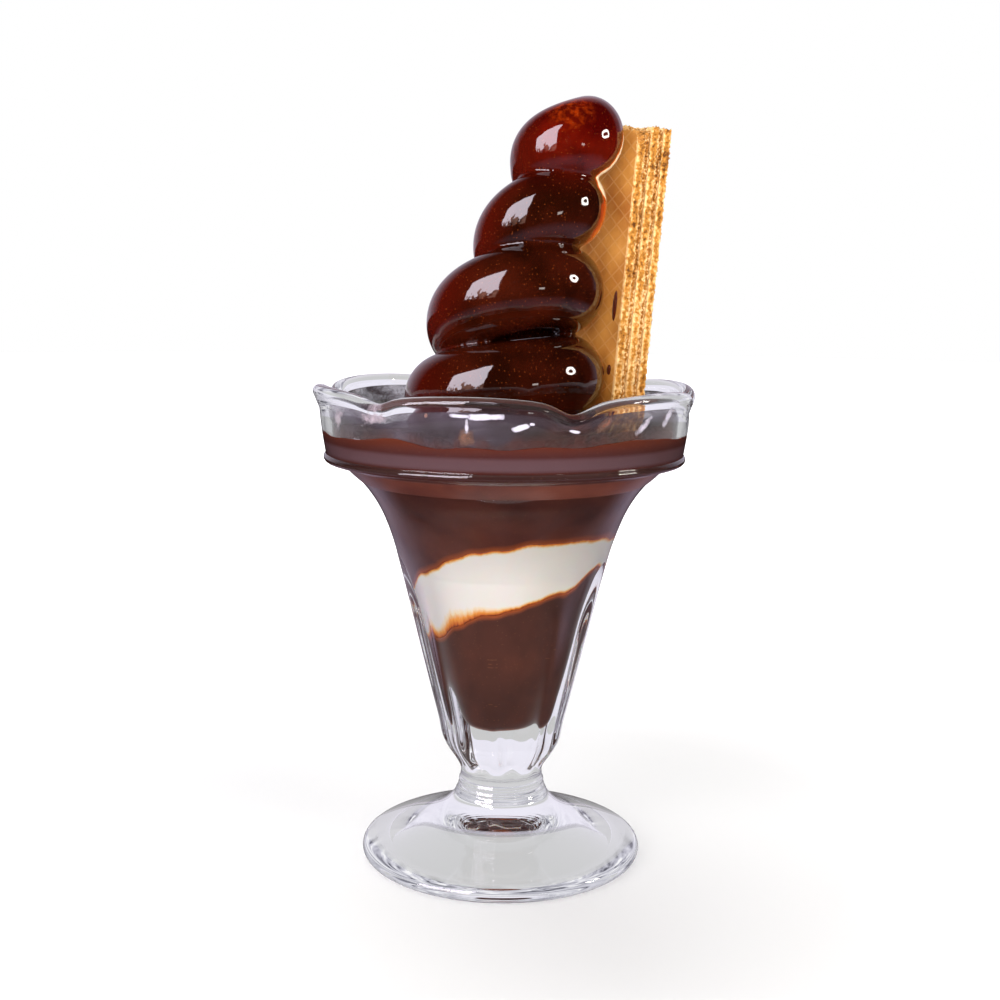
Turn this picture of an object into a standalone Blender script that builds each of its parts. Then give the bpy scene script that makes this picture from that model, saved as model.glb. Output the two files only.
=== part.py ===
"""Ice cream sundae in its footed, fluted tulip glass.

The glass is one pressed piece with a scalloped collar. It holds chocolate sauce, a slanting
band of vanilla ice cream and more chocolate sauce. A glazed soft-serve swirl and a filled
wafer stand on top. Metres, +Z up, origin under the middle of the foot; the front is -Y.
"""

import math

import bmesh
import bpy
import numpy as np
from mathutils import Matrix, Vector
from mathutils.geometry import interpolate_bezier

# Glass: heights above the table and radii about its axis.
GLASS_HEIGHT = 0.142
RIM_RADIUS = 0.0557
FOOT_RADIUS = 0.0419
FOOT_EDGE = 0.0044
HOLLOW_RADIUS = 0.0320
HOLLOW_HEIGHT = 0.0095
KNOP = (0.0157, 0.0160)
STEM_RADIUS = 0.0122
STEM_HEIGHT = 0.0252
BOWL_FOOT = (0.0181, 0.0370)
TAPER_LOW = (0.0192, 0.0425)
TAPER_HIGH = (0.0320, 0.0940)
BEAD_RADIUS = 0.0527
BEAD_HEIGHT = 0.1208
BEAD_SIZE = 0.0012
COLLAR_WALL = 0.0046
LIP_RADIUS = 0.0019
CAVITY_FLOOR = 0.0412
CAVITY_LOW = (0.0112, 0.0500)
CAVITY_HIGH = (0.0193, 0.0880)
LEDGE = (0.0462, 0.1180)

# What repeats round the glass. Azimuth runs from the front (-Y) towards the right (+X).
SEGMENTS = 54
NOTCHES = 6
NOTCH_AZIMUTH = math.radians(20)
NOTCH_DEPTH = 0.0038
NOTCH_HALF_WIDTH = math.radians(8)
LOBE_CROWN = 0.0004
NOTCH_PINCH = 0.0016
NOTCH_REACH = 0.012
FLUTES = 9
RIDGE_AZIMUTH = NOTCH_AZIMUTH + math.tau / (3 * FLUTES)
FLUTE_DEPTH = 0.085
FLUTE_LOW = 0.0265
FLUTE_LOW_FADE = 0.0050
FLUTE_HIGH = 0.1020
FLUTE_HIGH_FADE = 0.0300
RIDGE_SOFTNESS = 0.25

# Food in the glass. Each list goes round the wall in equal steps from the front.
GAP = 0.0003
BAND_LOW_HEIGHTS = (0.0795, 0.0840, 0.0912, 0.0865, 0.0775, 0.0705, 0.0672, 0.0735)
BAND_HIGH_HEIGHTS = (0.0992, 0.1005, 0.0990, 0.0930, 0.0885, 0.0845, 0.0850, 0.0935)
SAUCE_LEVEL = 0.1285
MENISCUS = 0.0008
MENISCUS_WIDTH = 0.003
SLAB_RADIUS = 0.060
SLAB_SEGMENTS = 26
SLAB_SPARE = 1.03

# Swirl: a rope of soft ice cream, wound in a rising coil that leans to the right.
ROPE_STEP = 0.0016
ROPE_TALLNESS = 1.12
SOFTNESS = 0.0006
CLIMB_EASE = 1.5
# How far the rope swells above its even climb as it passes the front, one value a turn.
FRONT_RISES = (0.0020, 0.0012, 0.0042, 0.0018, 0.0)
CROWN_HEIGHT = 0.2075
# The rope's centre where it passes each side, left and right in turn: distance to the right
# of the glass's axis, height, and the rope's own radius.
COIL_SIDES = (
    (-0.0188, 0.1150, 0.0102),
    (0.0180, 0.1235, 0.0102),
    (-0.0186, 0.1370, 0.0102),
    (0.0180, 0.1440, 0.0102),
    (-0.0124, 0.1585, 0.0100),
    (0.0175, 0.1683, 0.0101),
    (0.0008, 0.1807, 0.0099),
    (0.0180, 0.1922, 0.0100),
    (0.0108, 0.2050, 0.0096),
    (0.0228, 0.2118, 0.0096),
)
STEPS_PER_TURN = 32
ROWS_PER_TIER = 7
CROWN_RINGS = 4
CROWN_FAN = 0.014
CAST_FROM = 0.045
CAST_STEPS = 60

# Wafer: three crisp sheets with two layers of cream, stood on its short end.
WAFER_SHEETS = 3
WAFER_LENGTH = 0.0965
WAFER_WIDTH = 0.032
SHEET_THICKNESS = 0.0023
CREAM_THICKNESS = 0.00125
CREAM_INSET = 0.0005
WAFER_FOOT = (0.0299, -0.0030, 0.1190)
WAFER_LEAN = math.radians(4.5)
WAFER_TURN = math.radians(28)
WAFER_CORNER = 0.0016


def clear_scene():
    for old in list(bpy.data.objects):
        bpy.data.objects.remove(old)


def material(name, colour, roughness, transmission=0.0):
    """A Principled material; colour is linear red, green, blue."""
    made = bpy.data.materials.new(name)
    made.use_nodes = True
    shader = made.node_tree.nodes["Principled BSDF"]
    shader.inputs["Base Color"].default_value = (*colour, 1.0)
    shader.inputs["Roughness"].default_value = roughness
    shader.inputs["Metallic"].default_value = 0.0
    shader.inputs["Transmission Weight"].default_value = transmission
    return made


def add_object(name, mesh_maker, finish):
    """Closes the bmesh, turns its faces outwards and links it as one named object."""
    bmesh.ops.remove_doubles(mesh_maker, verts=mesh_maker.verts, dist=1e-6)
    bmesh.ops.recalc_face_normals(mesh_maker, faces=mesh_maker.faces)
    mesh = bpy.data.meshes.new(name)
    mesh_maker.to_mesh(mesh)
    mesh_maker.free()
    mesh.shade_smooth()
    mesh.set_sharp_from_angle(angle=math.radians(35))
    mesh.materials.append(finish)
    made = bpy.data.objects.new(name, mesh)
    bpy.context.scene.collection.objects.link(made)
    return made


def smooth_step(value):
    value = min(1.0, max(0.0, value))
    return value * value * (3 - 2 * value)


def curve(start, start_handle, end_handle, end, steps):
    """Points along a Bezier curve, without its first one."""
    ends = [Vector((*point, 0.0)) for point in (start, start_handle, end_handle, end)]
    return [(p.x, p.y) for p in interpolate_bezier(*ends, steps + 1)[1:]]


def arc(centre, radius, from_degrees, to_degrees, steps):
    """Points on an arc, both ends included; 0 degrees is outwards and 90 is up."""
    angles = np.radians(np.linspace(from_degrees, to_degrees, steps + 1))
    return [(centre[0] + radius * math.cos(a), centre[1] + radius * math.sin(a)) for a in angles]


def spin_outline(outline, segments, first_azimuth):
    """Spins an outline of (radius, height) points about Z into a closed skin."""
    maker = bmesh.new()
    ahead = Vector((math.sin(first_azimuth), -math.cos(first_azimuth), 0.0))
    rail = [maker.verts.new(ahead * radius + Vector((0, 0, height))) for radius, height in outline]
    edges = [maker.edges.new(pair) for pair in zip(rail, rail[1:])]
    bmesh.ops.spin(
        maker,
        geom=rail + edges,
        cent=(0, 0, 0),
        axis=(0, 0, 1),
        angle=math.tau,
        steps=segments,
        use_merge=True,
    )
    bmesh.ops.remove_doubles(maker, verts=maker.verts, dist=1e-6)
    return maker


def azimuth_of(point):
    return math.atan2(point.x, -point.y)


def outer_outline():
    """Foot, stem, tapered bowl, bead and collar, from under the foot up to the lip."""
    edge = FOOT_EDGE / 2
    outline = [(0.0, HOLLOW_HEIGHT)]
    outline += curve(outline[-1], (0.0120, HOLLOW_HEIGHT), (0.0230, 0.0050), (HOLLOW_RADIUS, 0.0), 3)
    outline += arc((FOOT_RADIUS - edge, edge), edge, -90, 75, 3)
    outline += curve(outline[-1], (0.030, 0.0085), (0.0205, 0.0105), KNOP, 3)
    outline += curve(outline[-1], (0.0150, 0.0185), (0.0126, 0.0215), (STEM_RADIUS, STEM_HEIGHT), 2)
    outline += curve(outline[-1], (0.0121, 0.0283), (0.0166, 0.0310), BOWL_FOOT, 3)
    outline += [TAPER_LOW]
    outline += curve(outline[-1], (0.0235, 0.0590), (0.0277, 0.0770), TAPER_HIGH, 3)
    under_bead = (0.0478, 0.1190)
    outline += curve(outline[-1], (0.0346, 0.1030), (0.0378, 0.1115), under_bead, 4)
    outline += arc((BEAD_RADIUS - BEAD_SIZE, BEAD_HEIGHT), BEAD_SIZE, -40, 60, 2)
    outline += [(0.0524, 0.1224), (0.0530, 0.1260), (0.0538, 0.1350)]
    lip_middle = (RIM_RADIUS - LIP_RADIUS, GLASS_HEIGHT - LIP_RADIUS)
    outline += arc(lip_middle, LIP_RADIUS, -35, 90, 3)
    return outline


def inner_outline():
    """The cavity, from the lip down to its round tip on the axis."""
    wall = RIM_RADIUS - COLLAR_WALL
    outline = [(wall + LIP_RADIUS * 0.7, GLASS_HEIGHT - 0.0004), (wall, GLASS_HEIGHT - 0.0020)]
    outline += [(wall - 0.0008, 0.1305), (wall - 0.0012, 0.1260)]
    outline += curve(outline[-1], (0.0493, 0.1215), (0.0485, 0.1205), LEDGE, 2)
    outline += curve(outline[-1], (0.0390, 0.1100), (0.0245, 0.1045), CAVITY_HIGH, 5)
    outline += curve(outline[-1], (0.0180, 0.0790), (0.0150, 0.0600), CAVITY_LOW, 3)
    outline += curve(outline[-1], (0.0099, 0.0462), (0.0094, 0.0428), (0.0070, 0.0419), 2)
    return outline + [(0.0, CAVITY_FLOOR)]


CAVITY = inner_outline()


def cavity_radius(height):
    """Inner radius of the glass at a height, read from its outline."""
    rising = CAVITY[::-1]
    return float(np.interp(height, [p[1] for p in rising], [p[0] for p in rising]))


def flute_share(point):
    """How much of a flute's hollow a point of the bowl takes: 0 on a ridge or beyond the flutes."""
    wave = math.sin(FLUTES / 2 * (azimuth_of(point) - RIDGE_AZIMUTH))
    softened = math.hypot(wave, RIDGE_SOFTNESS) - RIDGE_SOFTNESS
    hollow = softened / (math.hypot(1, RIDGE_SOFTNESS) - RIDGE_SOFTNESS)
    low = smooth_step((point.z - FLUTE_LOW) / FLUTE_LOW_FADE)
    high = smooth_step((FLUTE_HIGH - point.z) / FLUTE_HIGH_FADE)
    return hollow * low * high


def notch_share(azimuth):
    """1 at the foot of a notch in the rim, 0 on the crown of a lobe."""
    turn = math.tau / NOTCHES
    off = (azimuth - NOTCH_AZIMUTH + turn / 2) % turn - turn / 2
    return math.exp(-((off / NOTCH_HALF_WIDTH) ** 2))


def shape_glass(maker):
    """Presses the flutes into the bowl and the scallops into the collar."""
    turn = math.tau / NOTCHES
    for vertex in maker.verts:
        point = vertex.co
        radius = math.hypot(point.x, point.y)
        if radius < 1e-5:
            continue
        azimuth = azimuth_of(point)
        if point.z > FLUTE_LOW and radius > cavity_radius(point.z) + 0.001:
            shrink = 1 - FLUTE_DEPTH * flute_share(point)
            point.x *= shrink
            point.y *= shrink
        reach = smooth_step((point.z - GLASS_HEIGHT + NOTCH_REACH) / NOTCH_REACH)
        notch = notch_share(azimuth)
        crown = (1 + math.cos(NOTCHES * (azimuth - NOTCH_AZIMUTH - turn / 2))) / 2
        pinch = 1 - NOTCH_PINCH * notch * reach / radius
        point.x *= pinch
        point.y *= pinch
        point.z -= reach * (NOTCH_DEPTH * notch + LOBE_CROWN * (1 - crown))


def make_glass():
    maker = spin_outline(outer_outline() + CAVITY, SEGMENTS, NOTCH_AZIMUTH)
    shape_glass(maker)
    return add_object("glass", maker, material("clear_glass", (0.92, 0.94, 0.95), 0.02, 1.0))


def round_the_wall(heights, azimuth):
    """Height at an azimuth, eased between heights given at equal steps round the wall."""
    place = (azimuth / math.tau % 1.0) * len(heights)
    first = int(place) % len(heights)
    share = place - int(place)
    before, here, after, beyond = (heights[(first + k) % len(heights)] for k in (-1, 0, 1, 2))
    # A Catmull-Rom curve keeps the edge smooth through every height.
    bend = 2 * before - 5 * here + 4 * after - beyond
    twist = 3 * (here - after) + beyond - before
    return here + 0.5 * share * (after - before + share * (bend + share * twist))


def offset_outline(outline, distance):
    """Moves an outline's points to its left, and its ends along the axis."""
    moved = []
    for k, point in enumerate(outline):
        before, after = outline[max(0, k - 1)], outline[min(len(outline) - 1, k + 1)]
        along = Vector((after[0] - before[0], after[1] - before[1])).normalized()
        moved.append((max(0.0, point[0] - along.y * distance), point[1] + along.x * distance))
    return moved


def make_filler():
    """Everything that the cavity holds, GAP inside the glass, as a cutter."""
    outline = offset_outline(CAVITY[::-1], GAP)
    outline[0] = (0.0, CAVITY_FLOOR + GAP)
    maker = spin_outline(outline + [(0.0, outline[-1][1])], SEGMENTS, NOTCH_AZIMUTH)
    return hide(add_object("cavity_filler", maker, material("guide", (0.5, 0.5, 0.5), 0.5)))


def hide(guide):
    guide.hide_render = True
    guide.display_type = "WIRE"
    return guide


def cut(made, operation, cutter):
    """Adds a Boolean modifier; the part's build reads its result."""
    modifier = made.modifiers.new(cutter.name, "BOOLEAN")
    modifier.operation = operation
    modifier.object = cutter


def surface_rows(wall_height, lift, meniscus=0.0):
    """Rings of a food surface as (radius, height) functions of azimuth, from the middle out."""
    middle = sum(wall_height(k / 16 * math.tau) for k in range(16)) / 16 + lift

    def wall_ring(azimuth):
        height = wall_height(azimuth)
        return cavity_radius(height) * SLAB_SPARE, height + lift + meniscus

    def slab_ring(azimuth):
        return SLAB_RADIUS, wall_height(azimuth) + lift + meniscus

    def meniscus_ring(azimuth):
        height = wall_height(azimuth)
        return cavity_radius(height) - MENISCUS_WIDTH, height + lift

    rings = [lambda azimuth: (0.0, middle), wall_ring, slab_ring]
    if meniscus:
        rings.insert(1, meniscus_ring)
    return rings


def make_layer(name, below, above, finish, filler):
    """A layer of food: the slab between two surfaces, cut to the cavity."""
    rings = below + above[::-1]
    last = len(rings) - 1
    rail = [(0.0 if k in (0, last) else 1e-3, k * 1e-3) for k in range(last + 1)]
    maker = spin_outline(rail, SLAB_SEGMENTS, 0.0)
    for vertex in maker.verts:
        azimuth = azimuth_of(vertex.co)
        radius, height = rings[round(vertex.co.z * 1e3)](azimuth)
        vertex.co = (radius * math.sin(azimuth), -radius * math.cos(azimuth), height)
    made = add_object(name, maker, finish)
    cut(made, "INTERSECT", filler)
    return made


def make_contents():
    chocolate = material("chocolate_sauce", (0.045, 0.014, 0.009), 0.12)
    vanilla = material("vanilla_ice_cream", (0.78, 0.74, 0.64), 0.45)
    filler = make_filler()

    def band_low(azimuth):
        return round_the_wall(BAND_LOW_HEIGHTS, azimuth)

    def band_high(azimuth):
        return round_the_wall(BAND_HIGH_HEIGHTS, azimuth)

    under_floor = surface_rows(lambda azimuth: CAVITY_FLOOR, -GAP)
    sauce_top = surface_rows(lambda azimuth: SAUCE_LEVEL, 0.0, MENISCUS)
    make_layer("chocolate_sauce_lower", under_floor, surface_rows(band_low, -GAP), chocolate, filler)
    make_layer(
        "vanilla_ice_cream_band", surface_rows(band_low, 0), surface_rows(band_high, 0), vanilla, filler
    )
    return make_layer("chocolate_sauce_upper", surface_rows(band_high, GAP), sauce_top, chocolate, filler)


def rope_height(place):
    """Height of the rope's centre at a place counted in half turns, carried on past both ends."""
    heights = [side[1] for side in COIL_SIDES]
    if place < 0:
        return rope_height(place + 2) - (heights[2] - heights[0])
    if place >= len(heights) - 1:
        return rope_height(place - 2) + heights[-1] - heights[-3]
    half_turn = int(place)
    share = place - half_turn
    # The rope climbs most at the left and runs nearly level past the right.
    climb = share**CLIMB_EASE if half_turn % 2 else 1 - (1 - share) ** CLIMB_EASE
    swell = 0.0 if half_turn % 2 else FRONT_RISES[half_turn // 2] * math.sin(math.pi * share)
    return heights[half_turn] + (heights[half_turn + 1] - heights[half_turn]) * climb + swell


def rope_beads():
    """Centres and radii of beads along the rope of the swirl, from its foot to its tip."""
    centres, radii = [], []
    for half_turn, (start, end) in enumerate(zip(COIL_SIDES, COIL_SIDES[1:])):
        bow = abs(end[0] - start[0]) / 2
        steps = math.ceil(math.pi * bow / ROPE_STEP)
        for step in range(steps):
            share = step / steps
            x = start[0] + (end[0] - start[0]) * (1 - math.cos(math.pi * share)) / 2
            y = bow * math.sin(math.pi * share) * (1 if half_turn % 2 else -1)
            centres.append((x, y, rope_height(half_turn + share)))
            radii.append(start[2] + (end[2] - start[2]) * share)
    return np.array(centres), np.array(radii)


def swirl_distance(points, centres, radii):
    """Distance to the union of the tall beads, its creases filled softly by the glaze."""
    squash = np.array((1, 1, 1 / ROPE_TALLNESS))
    away = np.linalg.norm((points[:, None, :] - centres[None]) * squash, axis=2) - radii
    nearest = away.min(axis=1)
    return nearest - SOFTNESS * np.log(np.exp((nearest[:, None] - away) / SOFTNESS).sum(axis=1))


def swirl_axis(height):
    """How far the swirl's middle leans to the right at a height."""
    middles = [
        ((low[0] + high[0]) / 2, (low[1] + high[1]) / 2) for low, high in zip(COIL_SIDES, COIL_SIDES[1:])
    ]
    return float(np.interp(height, [m[1] for m in middles], [m[0] for m in middles]))


def wafer_axes():
    """The wafer's foot corner, and its directions along length, width and thickness."""
    along = Vector((math.sin(WAFER_LEAN), 0, math.cos(WAFER_LEAN)))
    across = Vector((-math.sin(WAFER_TURN), math.cos(WAFER_TURN), 0))
    through = across.cross(along).normalized()
    across = along.cross(through)
    return Vector(WAFER_FOOT), along, across, through


def crease_height(place):
    """Height of the crease under the rope."""
    return (rope_height(place - 2) + rope_height(place)) / 2


def crown_rise(height):
    """How far a ray tilts up, so that rays past the crown's height fan out over the tip."""
    return math.pi / 2 * (1 - math.exp(-max(0.0, height - CROWN_HEIGHT) / CROWN_FAN))


def cast_rays(rays):
    """Where rays of (height, azimuth, rise) from the leaning axis meet the rope, from outside."""
    origins = np.array([(swirl_axis(height), 0.0, height) for height, _, _ in rays])
    azimuths = np.array([azimuth for _, azimuth, _ in rays])
    rises = np.array([rise for _, _, rise in rays])
    flat = np.cos(rises)
    ways = np.stack((flat * np.sin(azimuths), -flat * np.cos(azimuths), np.sin(rises)), axis=1)
    centres, radii = rope_beads()
    reach = np.full(len(rays), CAST_FROM)
    for _ in range(CAST_STEPS):
        reach -= 0.8 * swirl_distance(origins + ways * reach[:, None], centres, radii)
    return origins + ways * reach[:, None]


def swirl_grid():
    """Rays wound along the creases, so that a tier's top row is the next tier's bottom row."""
    last = (len(COIL_SIDES) - 1) * STEPS_PER_TURN // 2
    rays, faces, grid = [], [], {}
    for step in range(last + 1):
        place = 2 * step / STEPS_PER_TURN
        low, high = crease_height(place), crease_height(place + 2)
        for row in range(ROWS_PER_TIER + (step > last - STEPS_PER_TURN)):
            height = low + (high - low) * row / ROWS_PER_TIER
            grid[step, row] = len(rays)
            rays.append((min(height, CROWN_HEIGHT), math.pi * (place - 0.5), crown_rise(height)))
    for step in range(last - STEPS_PER_TURN + 1):
        grid[step, ROWS_PER_TIER] = grid[step + STEPS_PER_TURN, 0]
    for step in range(last):
        for row in range(ROWS_PER_TIER):
            corners = (step, row), (step + 1, row), (step + 1, row + 1), (step, row + 1)
            faces.append([grid[corner] for corner in corners])
    foot_loop = [grid[step, 0] for step in range(STEPS_PER_TURN)]
    foot_loop += [grid[0, row] for row in range(ROWS_PER_TIER, 0, -1)]
    tip_loop = [grid[step, ROWS_PER_TIER] for step in range(last - STEPS_PER_TURN, last + 1)]
    tip_loop += [grid[last, row] for row in range(ROWS_PER_TIER - 1, 0, -1)]
    crown(rays, faces, tip_loop)
    return rays, faces, foot_loop


def crown(rays, faces, loop):
    """Closes the top of the grid with rings that shrink on to the tip.

    The loop steps down a column of the grid where its ends meet, so each ring turns a little
    further to spread that column out.
    """
    spread = math.tau * ROWS_PER_TIER / len(loop)
    outer = loop
    for ring in range(1, CROWN_RINGS):
        share = ring / CROWN_RINGS
        inner = []
        for k, index in enumerate(loop):
            height, azimuth, rise = rays[index]
            past_turn = k - STEPS_PER_TURN
            turned = past_turn / ROWS_PER_TIER if past_turn > 0 else -past_turn / STEPS_PER_TURN
            inner.append(len(rays))
            rays.append(
                (
                    height + (CROWN_HEIGHT - height) * share,
                    azimuth + spread * turned * min(1.0, 2 * share),
                    rise + (math.pi / 2 - rise) * share,
                )
            )
        faces.extend([index, outer[k - 1], inner[k - 1], inner[k]] for k, index in enumerate(outer))
        outer = inner
    rays.append((CROWN_HEIGHT, 0.0, math.pi / 2))
    faces.extend([index, outer[k - 1], len(rays) - 1] for k, index in enumerate(outer))


def make_swirl():
    """The wound grid cast on to the rope, cut off level above the sauce."""
    rays, faces, foot_loop = swirl_grid()
    maker = bmesh.new()
    verts = [maker.verts.new(point) for point in cast_rays(rays)]
    for face in faces:
        maker.faces.new([verts[index] for index in face])
    foot = rays[foot_loop[0]][0]
    pole = maker.verts.new((swirl_axis(foot), 0.0, foot))
    for k, index in enumerate(foot_loop):
        maker.faces.new((verts[index], verts[foot_loop[k - 1]], pole))
    finish = material("chocolate_glaze", (0.060, 0.012, 0.006), 0.06)
    swirl = add_object("glazed_swirl", maker, finish)
    low = (-SLAB_RADIUS, -SLAB_RADIUS, SAUCE_LEVEL + GAP)
    above_sauce = box_maker(low, (SLAB_RADIUS, SLAB_RADIUS, 2 * GLASS_HEIGHT))
    cut(swirl, "INTERSECT", hide(add_object("above_sauce", above_sauce, finish)))
    return swirl


def make_wafer(sauce, swirl):
    """Stacks sheets and cream from the swirl outwards, and makes room for them in sauce and swirl."""
    corner, along, across, through = wafer_axes()
    place = bpy.data.objects.new("wafer_place", None)
    bpy.context.scene.collection.objects.link(place)
    place.location = corner
    place.rotation_mode = "QUATERNION"
    place.rotation_quaternion = Matrix((through, across, along)).transposed().to_quaternion()
    crisp = material("wafer_sheet", (0.62, 0.37, 0.12), 0.7)
    filling = material("wafer_cream", (0.72, 0.47, 0.20), 0.6)
    depth = 0.0
    for k in range(2 * WAFER_SHEETS - 1):
        is_sheet = k % 2 == 0
        thickness = SHEET_THICKNESS if is_sheet else CREAM_THICKNESS
        inset = 0.0 if is_sheet else CREAM_INSET
        low = (depth, inset, 0.0)
        high = (depth + thickness, WAFER_WIDTH - inset, WAFER_LENGTH - inset)
        name = f"wafer_{'sheet' if is_sheet else 'cream'}_{k // 2 + 1}"
        add_object(name, box_maker(low, high, WAFER_CORNER), crisp if is_sheet else filling).parent = place
        depth += thickness + GAP
    slot = box_maker((-GAP, -GAP, -GAP), (depth, WAFER_WIDTH + GAP, WAFER_LENGTH))
    far_corner = (SLAB_RADIUS, SLAB_RADIUS, WAFER_LENGTH + SLAB_RADIUS)
    beyond = box_maker((-GAP, -SLAB_RADIUS, -SLAB_RADIUS), far_corner)
    for name, shape, food in (("wafer_slot", slot, sauce), ("wafer_side", beyond, swirl)):
        cutter = hide(add_object(name, shape, crisp))
        cutter.parent = place
        cut(food, "DIFFERENCE", cutter)


def box_maker(low, high, corner=0.0):
    """A box between two corners; a corner size rounds the two ends of its top."""
    maker = bmesh.new()
    bmesh.ops.create_cube(maker, size=1.0)
    for vertex in maker.verts:
        vertex.co = [low[k] + (high[k] - low[k]) * (vertex.co[k] + 0.5) for k in range(3)]
    if corner:
        top_ends = [
            edge
            for edge in maker.edges
            if min(v.co.z for v in edge.verts) > high[2] - 1e-6
            and abs(edge.verts[0].co.x - edge.verts[1].co.x) > 1e-6
        ]
        bmesh.ops.bevel(maker, geom=top_ends, offset=corner, segments=2, profile=0.5, affect="EDGES")
    return maker


def main():
    clear_scene()
    make_glass()
    sauce = make_contents()
    swirl = make_swirl()
    make_wafer(sauce, swirl)


main()
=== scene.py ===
"""Looks of the ice cream sundae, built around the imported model.

Metres, +Z up, the front is -Y, and the glass stands on its foot with its axis on Z. Azimuth
runs from the front towards the right (+X).
"""

import math

import bmesh
import bpy
import numpy as np
from mathutils import Matrix, Vector, noise
from mathutils.geometry import interpolate_bezier


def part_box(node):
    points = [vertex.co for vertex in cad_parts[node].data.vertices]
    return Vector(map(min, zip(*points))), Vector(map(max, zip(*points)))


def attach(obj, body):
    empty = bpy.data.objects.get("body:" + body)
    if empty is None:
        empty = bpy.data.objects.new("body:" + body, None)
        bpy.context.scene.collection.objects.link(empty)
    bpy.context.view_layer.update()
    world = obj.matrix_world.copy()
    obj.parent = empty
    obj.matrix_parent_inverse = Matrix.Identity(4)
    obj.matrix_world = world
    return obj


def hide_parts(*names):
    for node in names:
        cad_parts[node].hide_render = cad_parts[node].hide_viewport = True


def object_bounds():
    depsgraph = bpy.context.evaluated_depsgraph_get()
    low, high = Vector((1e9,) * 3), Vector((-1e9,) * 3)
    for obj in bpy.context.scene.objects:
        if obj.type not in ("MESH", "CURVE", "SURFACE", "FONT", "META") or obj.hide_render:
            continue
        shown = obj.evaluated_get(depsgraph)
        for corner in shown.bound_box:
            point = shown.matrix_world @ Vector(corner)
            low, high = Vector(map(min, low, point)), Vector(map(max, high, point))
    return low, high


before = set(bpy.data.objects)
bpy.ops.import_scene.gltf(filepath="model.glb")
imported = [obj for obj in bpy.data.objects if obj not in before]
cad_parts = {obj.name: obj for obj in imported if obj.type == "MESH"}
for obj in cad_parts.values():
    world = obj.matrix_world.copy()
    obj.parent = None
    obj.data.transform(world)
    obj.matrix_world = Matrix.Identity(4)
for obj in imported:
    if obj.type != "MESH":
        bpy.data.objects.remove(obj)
cad_low, cad_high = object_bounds()


# ---------------------------------------------------------------------------------------------
# Glass. Soda-lime glass, pressed in one mould: a domed foot, a short stem, a tapered bowl with
# nine flutes and a collar whose rim has six lobes. It is fire-polished, so smooth and clear.
# ---------------------------------------------------------------------------------------------
GLASS_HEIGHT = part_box("glass")[1].z
RIM_RADIUS = 0.0557
FOOT_RADIUS = 0.0419
FOOT_EDGE = 0.0044
HOLLOW_RADIUS = 0.0320
HOLLOW_HEIGHT = 0.0095
KNOP = (0.0157, 0.0160)
STEM_RADIUS = 0.0122
STEM_HEIGHT = 0.0252
STEM_RINGS = ((0.0190, 0.00018), (0.0206, 0.00014), (0.0224, 0.00030))
STEM_RING_SPREAD = 0.00045
BOWL_FOOT = (0.0181, 0.0370)
TAPER_LOW = (0.0192, 0.0425)
TAPER_HIGH = (0.0320, 0.0940)
UNDER_BEAD = (0.0478, 0.1190)
BEAD_RADIUS = 0.0527
BEAD_HEIGHT = 0.1208
BEAD_SIZE = 0.0012
COLLAR_WALL = 0.0046
LIP_RADIUS = 0.0019
CAVITY_FLOOR = 0.0412
CAVITY_LOW = (0.0112, 0.0500)
CAVITY_HIGH = (0.0193, 0.0880)
LEDGE = (0.0462, 0.1180)
GLASS_SEGMENTS = 324
NOTCHES = 6
NOTCH_AZIMUTH = math.radians(20)
# How deep each notch is drawn, going round from the front right one.
NOTCH_DEPTHS = (0.0042, 0.0030, 0.0036, 0.0036, 0.0030, 0.0027)
NOTCH_HALF_WIDTH = math.radians(6)
NOTCH_SHOULDER = 0.35
NOTCH_SHOULDER_WIDTH = math.radians(14)
LOBE_CROWN = 0.0004
NOTCH_PINCH = 0.0016
NOTCH_REACH = 0.012
FLUTES = 9
RIDGE_AZIMUTH = NOTCH_AZIMUTH + math.tau / (3 * FLUTES)
FLUTE_DEPTH = 0.085
FLUTE_LOW = 0.0255
FLUTE_ARCH = 0.0016
FLUTE_LOW_FADE = 0.0052
FLUTE_HIGH = 0.1020
FLUTE_HIGH_FADE = 0.0300
RIDGE_SOFTNESS = 0.25
GLASS_TINT = "fbfbff"
GLASS_IOR = 1.52


def srgb(code):
    """Linear red, green, blue and alpha of an sRGB hex colour."""
    parts = [int(code[k : k + 2], 16) / 255 for k in (0, 2, 4)]
    return [p / 12.92 if p <= 0.04045 else ((p + 0.055) / 1.055) ** 2.4 for p in parts] + [1.0]


def add_node(tree, kind, inputs=(), ramp=(), **settings):
    """Adds a node. An input is a constant or (node, output); a ramp is (place, hex colour) stops."""
    made = tree.nodes.new("ShaderNode" + kind)
    for name, value in settings.items():
        setattr(made, name, value)
    for name, value in dict(inputs).items():
        if isinstance(value, tuple) and isinstance(value[0], bpy.types.Node):
            tree.links.new(value[0].outputs[value[1]], made.inputs[name])
        else:
            made.inputs[name].default_value = value
    for k, (place, code) in enumerate(ramp):
        stops = made.color_ramp.elements
        stop = stops[k] if k < 2 else stops.new(place)
        stop.position = place
        stop.color = srgb(code)
    return made


def new_material(name, **inputs):
    """A Principled material with constant inputs; returns it with its tree and shader."""
    made = bpy.data.materials.new(name)
    made.use_nodes = True
    shader = made.node_tree.nodes["Principled BSDF"]
    for key, value in inputs.items():
        shader.inputs[key.replace("_", " ")].default_value = value
    return made, made.node_tree, shader


def make_piece(name, maker, finish):
    """Closes the bmesh, turns its faces outwards and links it as a smooth piece."""
    bmesh.ops.remove_doubles(maker, verts=maker.verts, dist=1e-6)
    bmesh.ops.recalc_face_normals(maker, faces=maker.faces)
    mesh = bpy.data.meshes.new(name)
    maker.to_mesh(mesh)
    maker.free()
    mesh.shade_smooth()
    mesh.materials.append(finish)
    piece = bpy.data.objects.new(name, mesh)
    bpy.context.scene.collection.objects.link(piece)
    return piece


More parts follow.
